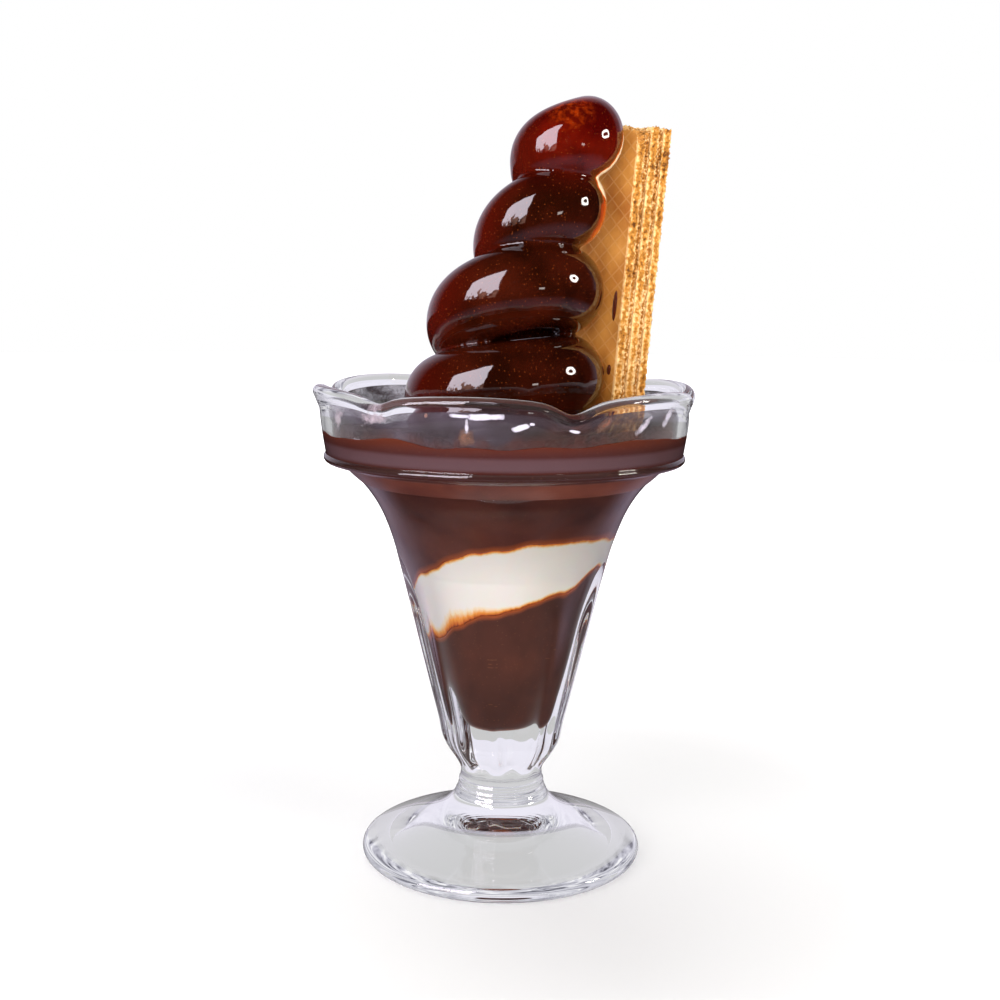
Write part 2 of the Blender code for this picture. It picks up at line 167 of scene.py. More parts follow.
def smooth_step(value):
    value = min(1.0, max(0.0, value))
    return value * value * (3 - 2 * value)


def curve(start, start_handle, end_handle, end, steps):
    """Points along a Bezier curve, without its first one."""
    ends = [Vector((*point, 0.0)) for point in (start, start_handle, end_handle, end)]
    return [(p.x, p.y) for p in interpolate_bezier(*ends, steps + 1)[1:]]


def arc(centre, radius, from_degrees, to_degrees, steps):
    """Points on an arc, both ends included; 0 degrees is outwards and 90 is up."""
    angles = np.radians(np.linspace(from_degrees, to_degrees, steps + 1))
    return [(centre[0] + radius * math.cos(a), centre[1] + radius * math.sin(a)) for a in angles]


def spin_outline(outline, segments):
    """Spins an outline of (radius, height) points about Z into a closed skin."""
    maker = bmesh.new()
    rail = [maker.verts.new((0.0, -radius, height)) for radius, height in outline]
    edges = [maker.edges.new(pair) for pair in zip(rail, rail[1:])]
    bmesh.ops.spin(
        maker,
        geom=rail + edges,
        cent=(0, 0, 0),
        axis=(0, 0, 1),
        angle=math.tau,
        steps=segments,
        use_merge=True,
    )
    bmesh.ops.remove_doubles(maker, verts=maker.verts, dist=1e-6)
    return maker


def azimuth_of(point):
    return math.atan2(point.x, -point.y)


def inner_outline():
    """The cavity, from the lip down to its round tip on the axis."""
    wall = RIM_RADIUS - COLLAR_WALL
    outline = curve(
        (RIM_RADIUS - LIP_RADIUS, GLASS_HEIGHT),
        (wall + LIP_RADIUS * 0.7, GLASS_HEIGHT + 0.0001),
        (wall, GLASS_HEIGHT - 0.0006),
        (wall, GLASS_HEIGHT - 0.0024),
        7,
    )
    outline += curve(outline[-1], (wall, 0.1360), (wall - 0.0008, 0.1305), (wall - 0.0012, 0.1260), 10)
    outline += curve(outline[-1], (0.0493, 0.1215), (0.0485, 0.1205), LEDGE, 10)
    outline += curve(outline[-1], (0.0390, 0.1100), (0.0245, 0.1045), CAVITY_HIGH, 24)
    outline += curve(outline[-1], (0.0180, 0.0790), (0.0150, 0.0600), CAVITY_LOW, 24)
    outline += curve(outline[-1], (0.0099, 0.0462), (0.0094, 0.0428), (0.0070, 0.0419), 8)
    outline += curve(outline[-1], (0.0060, CAVITY_FLOOR), (0.0030, CAVITY_FLOOR), (0.0, CAVITY_FLOOR), 6)
    return outline


CAVITY = inner_outline()


def cavity_radius(height):
    """Inner radius of the glass at a height, read from its outline."""
    rising = CAVITY[::-1]
    return float(np.interp(height, [p[1] for p in rising], [p[0] for p in rising]))


def outer_outline():
    """Foot, stem, tapered bowl, bead and collar, from under the foot up to the lip."""
    edge = FOOT_EDGE / 2
    outline = [(0.0, HOLLOW_HEIGHT)]
    outline += curve(outline[-1], (0.0120, HOLLOW_HEIGHT), (0.0230, 0.0050), (HOLLOW_RADIUS, 0.0004), 20)
    outline += [(HOLLOW_RADIUS + 0.0006, 0.0)]
    outline += arc((FOOT_RADIUS - edge, edge), edge, -90, 75, 12)
    outline += curve(outline[-1], (0.030, 0.0085), (0.0205, 0.0105), KNOP, 20)
    outline += curve(outline[-1], (0.0143, 0.0176), (0.0126, 0.0192), (STEM_RADIUS, STEM_HEIGHT), 36)
    outline += curve(outline[-1], (0.0121, 0.0283), (0.0166, 0.0310), BOWL_FOOT, 18)
    outline += curve(outline[-1], (0.0184, 0.0385), (0.0188, 0.0410), TAPER_LOW, 4)
    outline += curve(outline[-1], (0.0235, 0.0590), (0.0277, 0.0770), TAPER_HIGH, 26)
    outline += curve(outline[-1], (0.0346, 0.1030), (0.0378, 0.1115), UNDER_BEAD, 22)
    bead = (BEAD_RADIUS - BEAD_SIZE, BEAD_HEIGHT)
    outline += curve(outline[-1], (0.0500, 0.1200), (0.0510, 0.1192), arc(bead, BEAD_SIZE, -60, 0, 1)[0], 6)
    outline += arc(bead, BEAD_SIZE, -50, 60, 9)
    outline += curve(outline[-1], (0.0520, 0.1224), (0.0530, 0.1260), (0.0538, 0.1350), 10)
    lip_middle = (RIM_RADIUS - LIP_RADIUS, GLASS_HEIGHT - LIP_RADIUS)
    return outline + arc(lip_middle, LIP_RADIUS, -35, 90, 12)


def flute_share(point):
    """How much of a flute's hollow a point of the bowl takes: 0 on a ridge or beyond the flutes."""
    wave = math.sin(FLUTES / 2 * (azimuth_of(point) - RIDGE_AZIMUTH))
    softened = math.hypot(wave, RIDGE_SOFTNESS) - RIDGE_SOFTNESS
    hollow = softened / (math.hypot(1, RIDGE_SOFTNESS) - RIDGE_SOFTNESS)
    low = smooth_step((point.z - FLUTE_LOW - FLUTE_ARCH * (1 - hollow)) / FLUTE_LOW_FADE)
    high = smooth_step((FLUTE_HIGH - point.z) / FLUTE_HIGH_FADE)
    return hollow * low * high


def press_flutes(maker):
    """Draws the bowl in between its ridges, and leaves fine rings on the stem."""
    for vertex in maker.verts:
        point = vertex.co
        radius = math.hypot(point.x, point.y)
        if point.z < STEM_RINGS[0][0] - 0.001 or radius < cavity_radius(point.z) + 0.001:
            continue
        shrink = 1 - FLUTE_DEPTH * flute_share(point)
        for height, size in STEM_RINGS:
            shrink += size / radius * math.exp(-(((point.z - height) / STEM_RING_SPREAD) ** 2))
        point.x *= shrink
        point.y *= shrink


def press_rim(maker):
    """Draws the rim down and slightly in at each notch, and leaves the lobes between crowned."""
    turn = math.tau / NOTCHES
    for vertex in maker.verts:
        point = vertex.co
        radius = math.hypot(point.x, point.y)
        reach = smooth_step((point.z - GLASS_HEIGHT + NOTCH_REACH) / NOTCH_REACH)
        if reach == 0 or radius < RIM_RADIUS / 2:
            continue
        place = (azimuth_of(point) - NOTCH_AZIMUTH + turn / 2) % math.tau
        off = place % turn - turn / 2
        notch = (1 - NOTCH_SHOULDER) * math.exp(-((off / NOTCH_HALF_WIDTH) ** 2))
        notch += NOTCH_SHOULDER * math.exp(-((off / NOTCH_SHOULDER_WIDTH) ** 2))
        crown = (1 - math.cos(NOTCHES * off)) / 2
        shrink = 1 - NOTCH_PINCH * notch * reach / radius
        point.x *= shrink
        point.y *= shrink
        point.z -= reach * (NOTCH_DEPTHS[int(place / turn) % NOTCHES] * notch + LOBE_CROWN * (1 - crown))


glass_maker = spin_outline(outer_outline() + CAVITY, GLASS_SEGMENTS)
press_flutes(glass_maker)
press_rim(glass_maker)

# Pressed soda-lime glass: nearly white, with the faintest cool cast, and no roughness at all.
pressed_glass, glass_tree, glass_shader = new_material(
    "pressed_soda_lime_glass",
    Base_Color=srgb(GLASS_TINT),
    Roughness=0.0,
    IOR=GLASS_IOR,
    Transmission_Weight=1.0,
)
# Light passes the clear wall to reach what is behind it.
ray = add_node(glass_tree, "LightPath")
open_way = add_node(glass_tree, "BsdfTransparent", {"Color": srgb("f4f4f8")})
lit_through = add_node(
    glass_tree, "MixShader", {0: (ray, "Is Shadow Ray"), 1: (glass_shader, "BSDF"), 2: (open_way, "BSDF")}
)
# Painted light: once a ray has bounced more than twice inside the thick parts, the glass glows instead, a
# painted pale glow streaked grey to white.
bounces = add_node(glass_tree, "Math", {0: (ray, "Glossy Depth"), 1: 2.5}, operation="GREATER_THAN")
coords = add_node(glass_tree, "TexCoord")
streaks = add_node(
    glass_tree, "TexNoise", {"Vector": (coords, "Object"), "Scale": 75.0, "Detail": 3.0, "Distortion": 2.5}
)
painted_gleams = add_node(
    glass_tree,
    "ValToRGB",
    {"Fac": (streaks, "Fac")},
    ramp=((0.36, "5c5c66"), (0.62, "ffffff"), (0.44, "b4b4be"), (0.54, "dcdce4")),
)
painted_glow = add_node(glass_tree, "Emission", {"Color": (painted_gleams, "Color"), "Strength": 1.0})
glass_with_painted_glow = add_node(
    glass_tree, "MixShader", {0: (bounces, "Value"), 1: (lit_through, "Shader"), 2: (painted_glow, "Emission")}
)
glass_tree.links.new(glass_with_painted_glow.outputs["Shader"], glass_tree.nodes["Material Output"].inputs["Surface"])
glass = make_piece("fluted_tulip_glass", glass_maker, pressed_glass)
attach(glass, "root")
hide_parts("glass")


# ---------------------------------------------------------------------------------------------
# Chocolate under the ice cream. Thick cocoa sauce, poured first, so it fills the tip of the
# bowl. It wets the glass all over, and its top edge is stained where the ice cream meets it.
# ---------------------------------------------------------------------------------------------
INTO_WALL = 0.0004
FOOD_SEGMENTS = 216
WALL_ROWS = 44
BAND_LOW_HEIGHTS = (0.0795, 0.0840, 0.0912, 0.0865, 0.0775, 0.0705, 0.0672, 0.0735)
BAND_HIGH_HEIGHTS = (0.0992, 0.1005, 0.0990, 0.0930, 0.0885, 0.0845, 0.0850, 0.0935)
EDGE_RIPPLE = 0.0005
EDGE_RIPPLE_SIZE = 0.006
# Rings across a hidden face, and how far a layer's top stays below the next layer there.
HIDDEN_RINGS = 5
HIDDEN_GAP = 0.0004


def round_the_wall(heights, azimuth):
    """Height at an azimuth, eased between heights given at equal steps round the wall."""
    place = (azimuth / math.tau % 1.0) * len(heights)
    first = int(place) % len(heights)
    share = place - int(place)
    before, here, after, beyond = (heights[(first + k) % len(heights)] for k in (-1, 0, 1, 2))
    # A Catmull-Rom curve keeps the edge smooth through every height.
    bend = 2 * before - 5 * here + 4 * after - beyond
    twist = 3 * (here - after) + beyond - before
    return here + 0.5 * share * (after - before + share * (bend + share * twist))


def ripple(azimuth, size, seed):
    """A smooth wander between -1 and 1 round the wall."""
    reach = TAPER_HIGH[0] / size
    return noise.noise((reach * math.sin(azimuth), reach * math.cos(azimuth), seed)) * 1.6


def band_low(azimuth):
    return round_the_wall(BAND_LOW_HEIGHTS, azimuth) + EDGE_RIPPLE * ripple(azimuth, EDGE_RIPPLE_SIZE, 3.1)


def band_high(azimuth):
    return round_the_wall(BAND_HIGH_HEIGHTS, azimuth) + EDGE_RIPPLE * ripple(azimuth, EDGE_RIPPLE_SIZE, 8.4)


def wall_rings(low, high, rows):
    """Rings up the inside of the glass between two edges, set just into its wall."""

    def ring(share):
        def place(azimuth):
            height = low(azimuth) + (high(azimuth) - low(azimuth)) * share
            return cavity_radius(height) + INTO_WALL, height

        return place

    return [ring(k / rows) for k in range(rows + 1)]


def flat_rings(edge, lift, counts):
    """Rings across a hidden face inside the glass, from its middle out towards an edge."""
    middle = sum(edge(k / 16 * math.tau) for k in range(16)) / 16 + lift

    def ring(share):
        def place(azimuth):
            height = middle + (edge(azimuth) + lift - middle) * share
            return cavity_radius(edge(azimuth)) * share * 0.98, height

        return place

    return [ring(k / counts) for k in range(counts + 1)]


def layer_maker(rings):
    """A closed skin through rings of (radius, height) functions of azimuth; both ends are poles."""
    last = len(rings) - 1
    rail = [(0.0 if k in (0, last) else 1e-3, k * 1e-3) for k in range(last + 1)]
    maker = spin_outline(rail, FOOD_SEGMENTS)
    for vertex in maker.verts:
        azimuth = azimuth_of(vertex.co)
        radius, height = rings[round(vertex.co.z * 1e3)](azimuth)
        vertex.co = (radius * math.sin(azimuth), -radius * math.cos(azimuth), height)
    return maker


def set_attribute(piece, name, value_of):
    """Stores a number for each vertex, worked out from its position."""
    values = [value_of(vertex.co) for vertex in piece.data.vertices]
    piece.data.attributes.new(name, "FLOAT", "POINT").data.foreach_set("value", values)


def sauce_material(name, dark, light, rim_colour, bands=((0.0, "40200f"), (1.0, "40200f"))):
    """Cocoa sauce against glass: dark and cloudy, with redder thin places, fine grains, and in the collar
    bands of (share of the collar's height, colour) where it clings thicker or thinner, among them a mauve
    painted reflection."""
    made, tree, shader = new_material(name, Roughness=0.28, IOR=1.42, Specular_IOR_Level=0.35)
    coords = add_node(tree, "TexCoord")
    clouds = add_node(tree, "TexNoise", {"Vector": (coords, "Object"), "Scale": 55.0, "Detail": 3.0})
    body = add_node(tree, "ValToRGB", {"Fac": (clouds, "Fac")}, ramp=((0.36, dark), (0.68, light)))
    edge = add_node(tree, "Attribute", attribute_name="edge")
    rim = add_node(
        tree,
        "MapRange",
        {"Value": (edge, "Fac"), "From Min": 0.0, "From Max": 0.0016, "To Min": 1.0, "To Max": 0.0},
    )
    stained = add_node(
        tree,
        "MixRGB",
        {"Fac": (rim, "Result"), "Color1": (body, "Color"), "Color2": srgb(rim_colour)},
    )
    height = add_node(tree, "SeparateXYZ", {"Vector": (coords, "Object")})
    level = add_node(
        tree, "MapRange", {"Value": (height, "Z"), "From Min": LEDGE[1], "From Max": GLASS_HEIGHT}
    )
    within = add_node(
        tree, "MapRange", {"Value": (height, "Z"), "From Min": LEDGE[1], "From Max": BEAD_HEIGHT}
    )
    # The collar bands: sauce colours, and a mauve painted reflection.
    stripe = add_node(tree, "ValToRGB", {"Fac": (level, "Result")}, ramp=bands)
    striped = add_node(
        tree,
        "MixRGB",
        {"Fac": (within, "Result"), "Color1": (stained, "Color"), "Color2": (stripe, "Color")},
    )
    grains = add_node(tree, "TexVoronoi", {"Vector": (coords, "Object"), "Scale": 900.0})
    grain_mask = add_node(
        tree,
        "MapRange",
        {"Value": (grains, "Distance"), "From Min": 0.06, "From Max": 0.15, "To Min": 0.4, "To Max": 0.0},
    )
    speckled = add_node(
        tree,
        "MixRGB",
        {"Fac": (grain_mask, "Result"), "Color1": (striped, "Color"), "Color2": srgb("8a5a3c")},
    )
    tree.links.new(speckled.outputs["Color"], shader.inputs["Base Color"])
    return made


def cavity_bottom_rings():
    """Rings that follow the round tip of the bowl up from its pole."""
    rising = [p for p in CAVITY[::-1] if p[1] < CAVITY_LOW[1]]

    def ring(spot):
        return lambda azimuth: (spot[0] + (INTO_WALL if spot[0] > 0 else 0.0), spot[1] - INTO_WALL * 0.5)

    return [ring(spot) for spot in rising]


lower_rings = cavity_bottom_rings() + wall_rings(lambda azimuth: CAVITY_LOW[1], band_low, WALL_ROWS)
lower_rings += flat_rings(band_low, -HIDDEN_GAP, HIDDEN_RINGS)[::-1]
lower_sauce = make_piece(
    "chocolate_under_ice_cream",
    layer_maker(lower_rings),
    sauce_material("cocoa_sauce_low", "3a1d14", "522b1e", "9a4a20"),
)
set_attribute(
    lower_sauce,
    "edge",
    lambda point: min(band_low(azimuth_of(point)) - point.z, 1.5 * (point.z - CAVITY_FLOOR)),
)
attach(lower_sauce, "root")
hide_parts("chocolate_sauce_lower")


# ---------------------------------------------------------------------------------------------
# Vanilla band. Soft-serve ice cream pressed against the glass in a slanting band. Where the
# sauces above and below soak into it, its edges are stained amber.
# ---------------------------------------------------------------------------------------------
# Widths of the amber edges; the lower one widens into a broad orange band towards the front left.
STAIN_WIDTH = 0.0013
STAIN_WIDE = 0.0046
STAIN_WIDE_AZIMUTH = math.radians(-46)
STAIN_WIDE_SPREAD = math.radians(32)

band_rings = flat_rings(band_low, 0.0, HIDDEN_RINGS) + wall_rings(band_low, band_high, WALL_ROWS)
band_rings += flat_rings(band_high, -HIDDEN_GAP, HIDDEN_RINGS)[::-1]


def stain_share(point):
    """Distance to the nearer amber edge, as a share of that edge's width, which is wider at the lower edge
    towards the front left.
    """
    azimuth = azimuth_of(point)
    off = (azimuth - STAIN_WIDE_AZIMUTH + math.pi) % math.tau - math.pi
    wide = STAIN_WIDTH + STAIN_WIDE * math.exp(-((off / STAIN_WIDE_SPREAD) ** 2))
    return min((point.z - band_low(azimuth)) / wide, (band_high(azimuth) - point.z) / STAIN_WIDTH)


# Vanilla soft serve: milky and faintly yellow, satin where it is pressed to the glass.
vanilla, vanilla_tree, vanilla_shader = new_material(
    "vanilla_soft_serve", Roughness=0.45, IOR=1.38, Subsurface_Weight=0.25, Subsurface_Scale=0.002
)
coords = add_node(vanilla_tree, "TexCoord")
streaks = add_node(
    vanilla_tree, "Mapping", {"Vector": (coords, "Object"), "Scale": (260.0, 260.0, 60.0)}
)
fray = add_node(vanilla_tree, "TexNoise", {"Vector": (streaks, "Vector"), "Scale": 4.0, "Detail": 3.0})
edge = add_node(vanilla_tree, "Attribute", attribute_name="edge")
frayed = add_node(
    vanilla_tree, "Math", {0: (fray, "Fac"), 1: 0.5, 2: (edge, "Fac")}, operation="MULTIPLY_ADD"
)
lifted = add_node(vanilla_tree, "Math", {0: (frayed, "Value"), 1: -0.25}, operation="ADD")
stained = add_node(
    vanilla_tree,
    "ValToRGB",
    {"Fac": (lifted, "Value")},
    ramp=((0.0, "6a3018"), (1.0, "dedad0"), (0.14, "b8591a"), (0.40, "dc923c"), (0.70, "e2cda6")),
)
vanilla_tree.links.new(stained.outputs["Color"], vanilla_shader.inputs["Base Color"])
band = make_piece("vanilla_ice_cream_slope", layer_maker(band_rings), vanilla)
set_attribute(band, "edge", stain_share)
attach(band, "root")
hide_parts("vanilla_ice_cream_band")


# ---------------------------------------------------------------------------------------------
# Chocolate on top. The same cocoa sauce, poured over the ice cream up to the collar, where it
# clings to the glass in a wavy line.
# ---------------------------------------------------------------------------------------------
SAUCE_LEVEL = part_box("chocolate_sauce_upper")[1].z - 0.0008
MENISCUS = 0.0008
MENISCUS_WIDTH = 0.003
# Colours of the sauce up the collar, at shares of the collar's height: darker and redder where it clings
# thicker or thinner, and mauve from 0.21 to 0.31, a painted reflection along the ledge.
COLLAR_BANDS_AND_REFLECTION = (
    (0.10, "36130b"),
    (0.50, "66290f"),
    (0.17, "48190f"),
    (0.21, "5c4042"),
    (0.31, "5a3b3d"),
    (0.35, "44140a"),
)
TIDE_WAVE = 0.0013
TIDE_SIZE = 0.009
FACE_RINGS = 26
FACE_WANDER = 0.0004


def tide_line(azimuth):
    """Height of the sauce's wavy edge on the glass."""
    return SAUCE_LEVEL + MENISCUS + TIDE_WAVE * ripple(azimuth, TIDE_SIZE, 5.7)


def surface_ring(share):
    """A ring of the sauce's open face: flat in the middle, drawn up where it meets the glass."""

    def place(azimuth):
        wall = cavity_radius(SAUCE_LEVEL)
        radius = wall * share
        climb = math.exp(-(wall - radius) / MENISCUS_WIDTH)
        wander = noise.noise((radius * math.sin(azimuth) * 90, radius * math.cos(azimuth) * 90, 0.4))
        lift = (tide_line(azimuth) - SAUCE_LEVEL) * climb + FACE_WANDER * wander * (1 - share**4)
        return radius, SAUCE_LEVEL + lift

    return place


open_face = [surface_ring(1 - (1 - k / FACE_RINGS) ** 1.6) for k in range(FACE_RINGS + 1)]
upper_rings = flat_rings(band_high, 0.0, HIDDEN_RINGS) + wall_rings(band_high, tide_line, 2 * WALL_ROWS)
upper_rings += open_face[::-1]
upper_sauce = make_piece(
    "chocolate_over_ice_cream",
    layer_maker(upper_rings),
    sauce_material("cocoa_sauce_high", "421f19", "5a2f24", "8f451f", COLLAR_BANDS_AND_REFLECTION),
)
set_attribute(upper_sauce, "edge", lambda point: abs(point.z - band_high(azimuth_of(point))))
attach(upper_sauce, "root")
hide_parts("chocolate_sauce_upper")


# ---------------------------------------------------------------------------------------------
# Film. Melted ice cream and sauce, misted over the inside of the cold collar and dried there. It
# is a thin skin on the glass, thicker near the sauce.
# ---------------------------------------------------------------------------------------------
FILM_THICKNESS = 0.00008
FILM_BOTTOM = SAUCE_LEVEL - 0.0006
FILM_TOP = GLASS_HEIGHT - 0.0035
FILM_RINGS = 16

film_heights = np.linspace(FILM_BOTTOM, FILM_TOP, FILM_RINGS)
film_outline = [(cavity_radius(h) - FILM_THICKNESS, h) for h in film_heights]
film_outline += [(cavity_radius(h) - 2 * FILM_THICKNESS, h) for h in film_heights[::-1]]
film_maker = spin_outline(film_outline + film_outline[:1], FOOD_SEGMENTS)
press_rim(film_maker)

# Milk film dried on glass: a cloudy grey-brown haze with finger prints and a few amber spots.
misted, film_tree, film_shader = new_material("dried_milk_film", Roughness=0.5, IOR=1.38)
coords = add_node(film_tree, "TexCoord")
wipes = add_node(film_tree, "Mapping", {"Vector": (coords, "Object"), "Scale": (1.0, 1.0, 2.2)})
clouds = add_node(
    film_tree,
    "TexNoise",
    {"Vector": (wipes, "Vector"), "Scale": 60.0, "Detail": 5.0, "Distortion": 1.6},
)
prints = add_node(
    film_tree,
    "TexWave",
    {"Vector": (wipes, "Vector"), "Scale": 140.0, "Distortion": 14.0, "Detail": 2.0, "Detail Scale": 1.5},
)
prints_share = add_node(
    film_tree, "Math", {0: (prints, "Fac"), 1: 0.10, 2: (clouds, "Fac")}, operation="MULTIPLY_ADD"
)
cover = add_node(
    film_tree,
    "MapRange",
    {"Value": (prints_share, "Value"), "From Min": 0.42, "From Max": 0.74, "To Min": 0.40, "To Max": 0.80},
)
stains = add_node(film_tree, "TexNoise", {"Vector": (coords, "Object"), "Scale": 48.0, "Detail": 2.0})
tint = add_node(
    film_tree,
    "ValToRGB",
    {"Fac": (stains, "Fac")},
    ramp=((0.32, "5e525e"), (0.74, "5a2c16"), (0.46, "3a2c31"), (0.60, "2c1a17")),
)
# Close above the sauce it is sauce rather than milk: brown, drawn up in fine streaks.
spot = add_node(film_tree, "SeparateXYZ", {"Vector": (coords, "Object")})
streaks = add_node(film_tree, "Mapping", {"Vector": (coords, "Object"), "Scale": (170.0, 170.0, 25.0)})
drawn = add_node(film_tree, "TexNoise", {"Vector": (streaks, "Vector"), "Scale": 2.0, "Detail": 3.0})
reach = add_node(film_tree, "Math", {0: (drawn, "Fac"), 1: -0.009, 2: (spot, "Z")}, operation="MULTIPLY_ADD")
wet = add_node(
    film_tree,
    "MapRange",
    {
        "Value": (reach, "Value"),
        "From Min": SAUCE_LEVEL - 0.0036,
        "From Max": SAUCE_LEVEL - 0.0012,
        "To Min": 0.7,
        "To Max": 0.0,
    },
)
smeared = add_node(
    film_tree, "MixRGB", {"Fac": (wet, "Result"), "Color1": (tint, "Color"), "Color2": srgb("521e0a")}
)
thickest = add_node(film_tree, "Math", {0: (cover, "Result"), 1: (wet, "Result")}, operation="MAXIMUM")
film_tree.links.new(thickest.outputs["Value"], film_shader.inputs["Alpha"])
film_tree.links.new(smeared.outputs["Color"], film_shader.inputs["Base Color"])
film = make_piece("milk_film_on_collar", film_maker, misted)
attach(film, "root")


# ---------------------------------------------------------------------------------------------
# Smears and painted highlights on the inside of the collar. Near-white dabs are painted highlights,
# reflections of a window on the glass; brown ones are sauce wiped on to it, and some are a mix of the two.
# Each is a thin closed patch that fades out at a ragged edge.
# ---------------------------------------------------------------------------------------------
# Azimuth in degrees, height, half length, half breadth, tilt in degrees, cover, share of sauce; a dab with
# little sauce is a painted highlight.
HIGHLIGHTS_AND_SMEARS = (
    (-5.4, 0.1373, 0.0054, 0.0011, 3, 1.6, 0.0),
    (-13.0, 0.1374, 0.0034, 0.0008, -4, 1.2, 0.0),
    (-10.9, 0.1346, 0.0030, 0.0006, 90, 1.0, 0.1),
    (-10.9, 0.1314, 0.0028, 0.0024, 90, 0.9, 0.94),
    (-23.0, 0.1375, 0.0009, 0.0006, 80, 1.6, 0.9),
    (4.7, 0.1345, 0.0028, 0.0010, 22, 1.6, 0.0),
    (7.8, 0.1358, 0.0008, 0.0006, 0, 1.8, 0.0),
    (20.6, 0.1344, 0.0020, 0.0010, -40, 1.4, 0.0),
    (-47.0, 0.1276, 0.0052, 0.0014, -8, 1.6, 0.1),
    (-42.0, 0.1368, 0.0070, 0.0034, 20, 0.75, 0.5),
    (-60.0, 0.1342, 0.0050, 0.0024, 50, 0.85, 0.5),
    (57.0, 0.1356, 0.0050, 0.0018, 60, 1.0, 0.0),
    (45.0, 0.1335, 0.0050, 0.0014, 35, 0.9, 0.1),
    (30.0, 0.1352, 0.0034, 0.0024, 60, 0.85, 0.96),
)
SMEAR_THICKNESS = 0.00003

dabs_bm = bmesh.new()
cover_layer = dabs_bm.verts.layers.float.new("cover")
sauce_layer = dabs_bm.verts.layers.float.new("sauce")
for azimuth, height, half_length, half_breadth, tilt, most, sauce in HIGHLIGHTS_AND_SMEARS:
    dab = bmesh.ops.create_grid(dabs_bm, x_segments=20, y_segments=10, size=1.0)["verts"]
    sheet = {face for vertex in dab for face in vertex.link_faces}
    grown = bmesh.ops.extrude_face_region(dabs_bm, geom=list(sheet))["geom"]
    lifted = [element for element in grown if isinstance(element, bmesh.types.BMVert)]
    turn = Matrix.Rotation(math.radians(tilt), 2)
    for vertices, inward in ((dab, SMEAR_THICKNESS), (lifted, 2 * SMEAR_THICKNESS)):
        for vertex in vertices:
            along, across = vertex.co.xy
            vertex[cover_layer] = most * max(0.0, 1 - along**2) * max(0.0, 1 - across**2)
            vertex[sauce_layer] = sauce
            sideways, up = turn @ Vector((along * half_length, across * half_breadth))
            radius = cavity_radius(height + up) - inward
            around = math.radians(azimuth) + sideways / radius
            vertex.co = (radius * math.sin(around), -radius * math.cos(around), height + up)
press_rim(dabs_bm)

# Painted highlights and wiped sauce: near-white for a highlight, brown for sauce; opaque where the cover is
# thick, and broken up towards the edges where it thins.
highlight_and_smear, wiped_tree, wiped_shader = new_material("painted_highlight_and_sauce_smear", Roughness=0.35, IOR=1.38)
coords = add_node(wiped_tree, "TexCoord")
rough = add_node(wiped_tree, "TexNoise", {"Vector": (coords, "Object"), "Scale": 400.0, "Detail": 4.0})
cover = add_node(wiped_tree, "Attribute", attribute_name="cover")
broken = add_node(
    wiped_tree, "Math", {0: (rough, "Fac"), 1: -1.8, 2: (cover, "Fac")}, operation="MULTIPLY_ADD"
)
dense = add_node(
    wiped_tree, "MapRange", {"Value": (broken, "Value"), "From Min": -0.55, "From Max": 0.05}
)
sauce_share = add_node(wiped_tree, "Attribute", attribute_name="sauce")
mixed = add_node(
    wiped_tree,
    "MixRGB",
    {"Fac": (sauce_share, "Fac"), "Color1": srgb("f2ecf4"), "Color2": srgb("7a4414")},
)
wiped_tree.links.new(dense.outputs["Result"], wiped_shader.inputs["Alpha"])
wiped_tree.links.new(mixed.outputs["Color"], wiped_shader.inputs["Base Color"])
highlights_and_smears = make_piece("painted_highlights_and_smears_on_collar", dabs_bm, highlight_and_smear)
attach(highlights_and_smears, "root")


# ---------------------------------------------------------------------------------------------
# Swirl. Vanilla soft serve wound up as a leaning coil and dipped in chocolate glaze, which sets
# glossy and dark. The glaze is thin beside the wafer, where bare ice cream shows.
# ---------------------------------------------------------------------------------------------
# The rope's centre where it passes each side, left and right in turn: distance to the right
# of the glass's axis, height, and the rope's own radius.
COIL_SIDES = (
    (-0.0188, 0.1150, 0.0102),
    (0.0180, 0.1235, 0.0102),
    (-0.0186, 0.1370, 0.0102),
    (0.0180, 0.1440, 0.0102),
    (-0.0124, 0.1585, 0.0100),
    (0.0175, 0.1683, 0.0101),
    (0.0008, 0.1807, 0.0099),
    (0.0180, 0.1922, 0.0100),
    (0.0108, 0.2050, 0.0096),
    (0.0228, 0.2118, 0.0096),
)
ROPE_STEP = 0.0012
ROPE_TALLNESS = 1.12
CLIMB_EASE = 1.5
# How far the rope swells above its even climb as it passes the front, one value a turn.
FRONT_RISES = (0.0020, 0.0012, 0.0042, 0.0018, 0.0)
GLAZE_THICKNESS = 0.0006
SWIRL_VOXEL = 0.00045
SWIRL_SMOOTHING = 9
SWIRL_DIP = 0.004
WAFER_FOOT = Vector((0.0299, -0.0030, 0.1190))
WAFER_LEAN = math.radians(4.5)
WAFER_TURN = math.radians(28)
WAFER_CLEARANCE = 0.0001


def rope_height(half_turns):
    """Height of the rope's centre at a place counted in half turns."""
    start = min(int(half_turns), len(COIL_SIDES) - 2)
    share = half_turns - start
    # The rope climbs most at the left and runs nearly level past the right.
    climb = share**CLIMB_EASE if start % 2 else 1 - (1 - share) ** CLIMB_EASE
    swell = 0.0 if start % 2 else FRONT_RISES[start // 2] * math.sin(math.pi * share)
    return COIL_SIDES[start][1] + (COIL_SIDES[start + 1][1] - COIL_SIDES[start][1]) * climb + swell


def wafer_axes():
    """The wafer's directions along its length, across its width and through its thickness."""
    along = Vector((math.sin(WAFER_LEAN), 0, math.cos(WAFER_LEAN)))
    across = Vector((-math.sin(WAFER_TURN), math.cos(WAFER_TURN), 0))
    through = across.cross(along).normalized()
    return along, along.cross(through), through


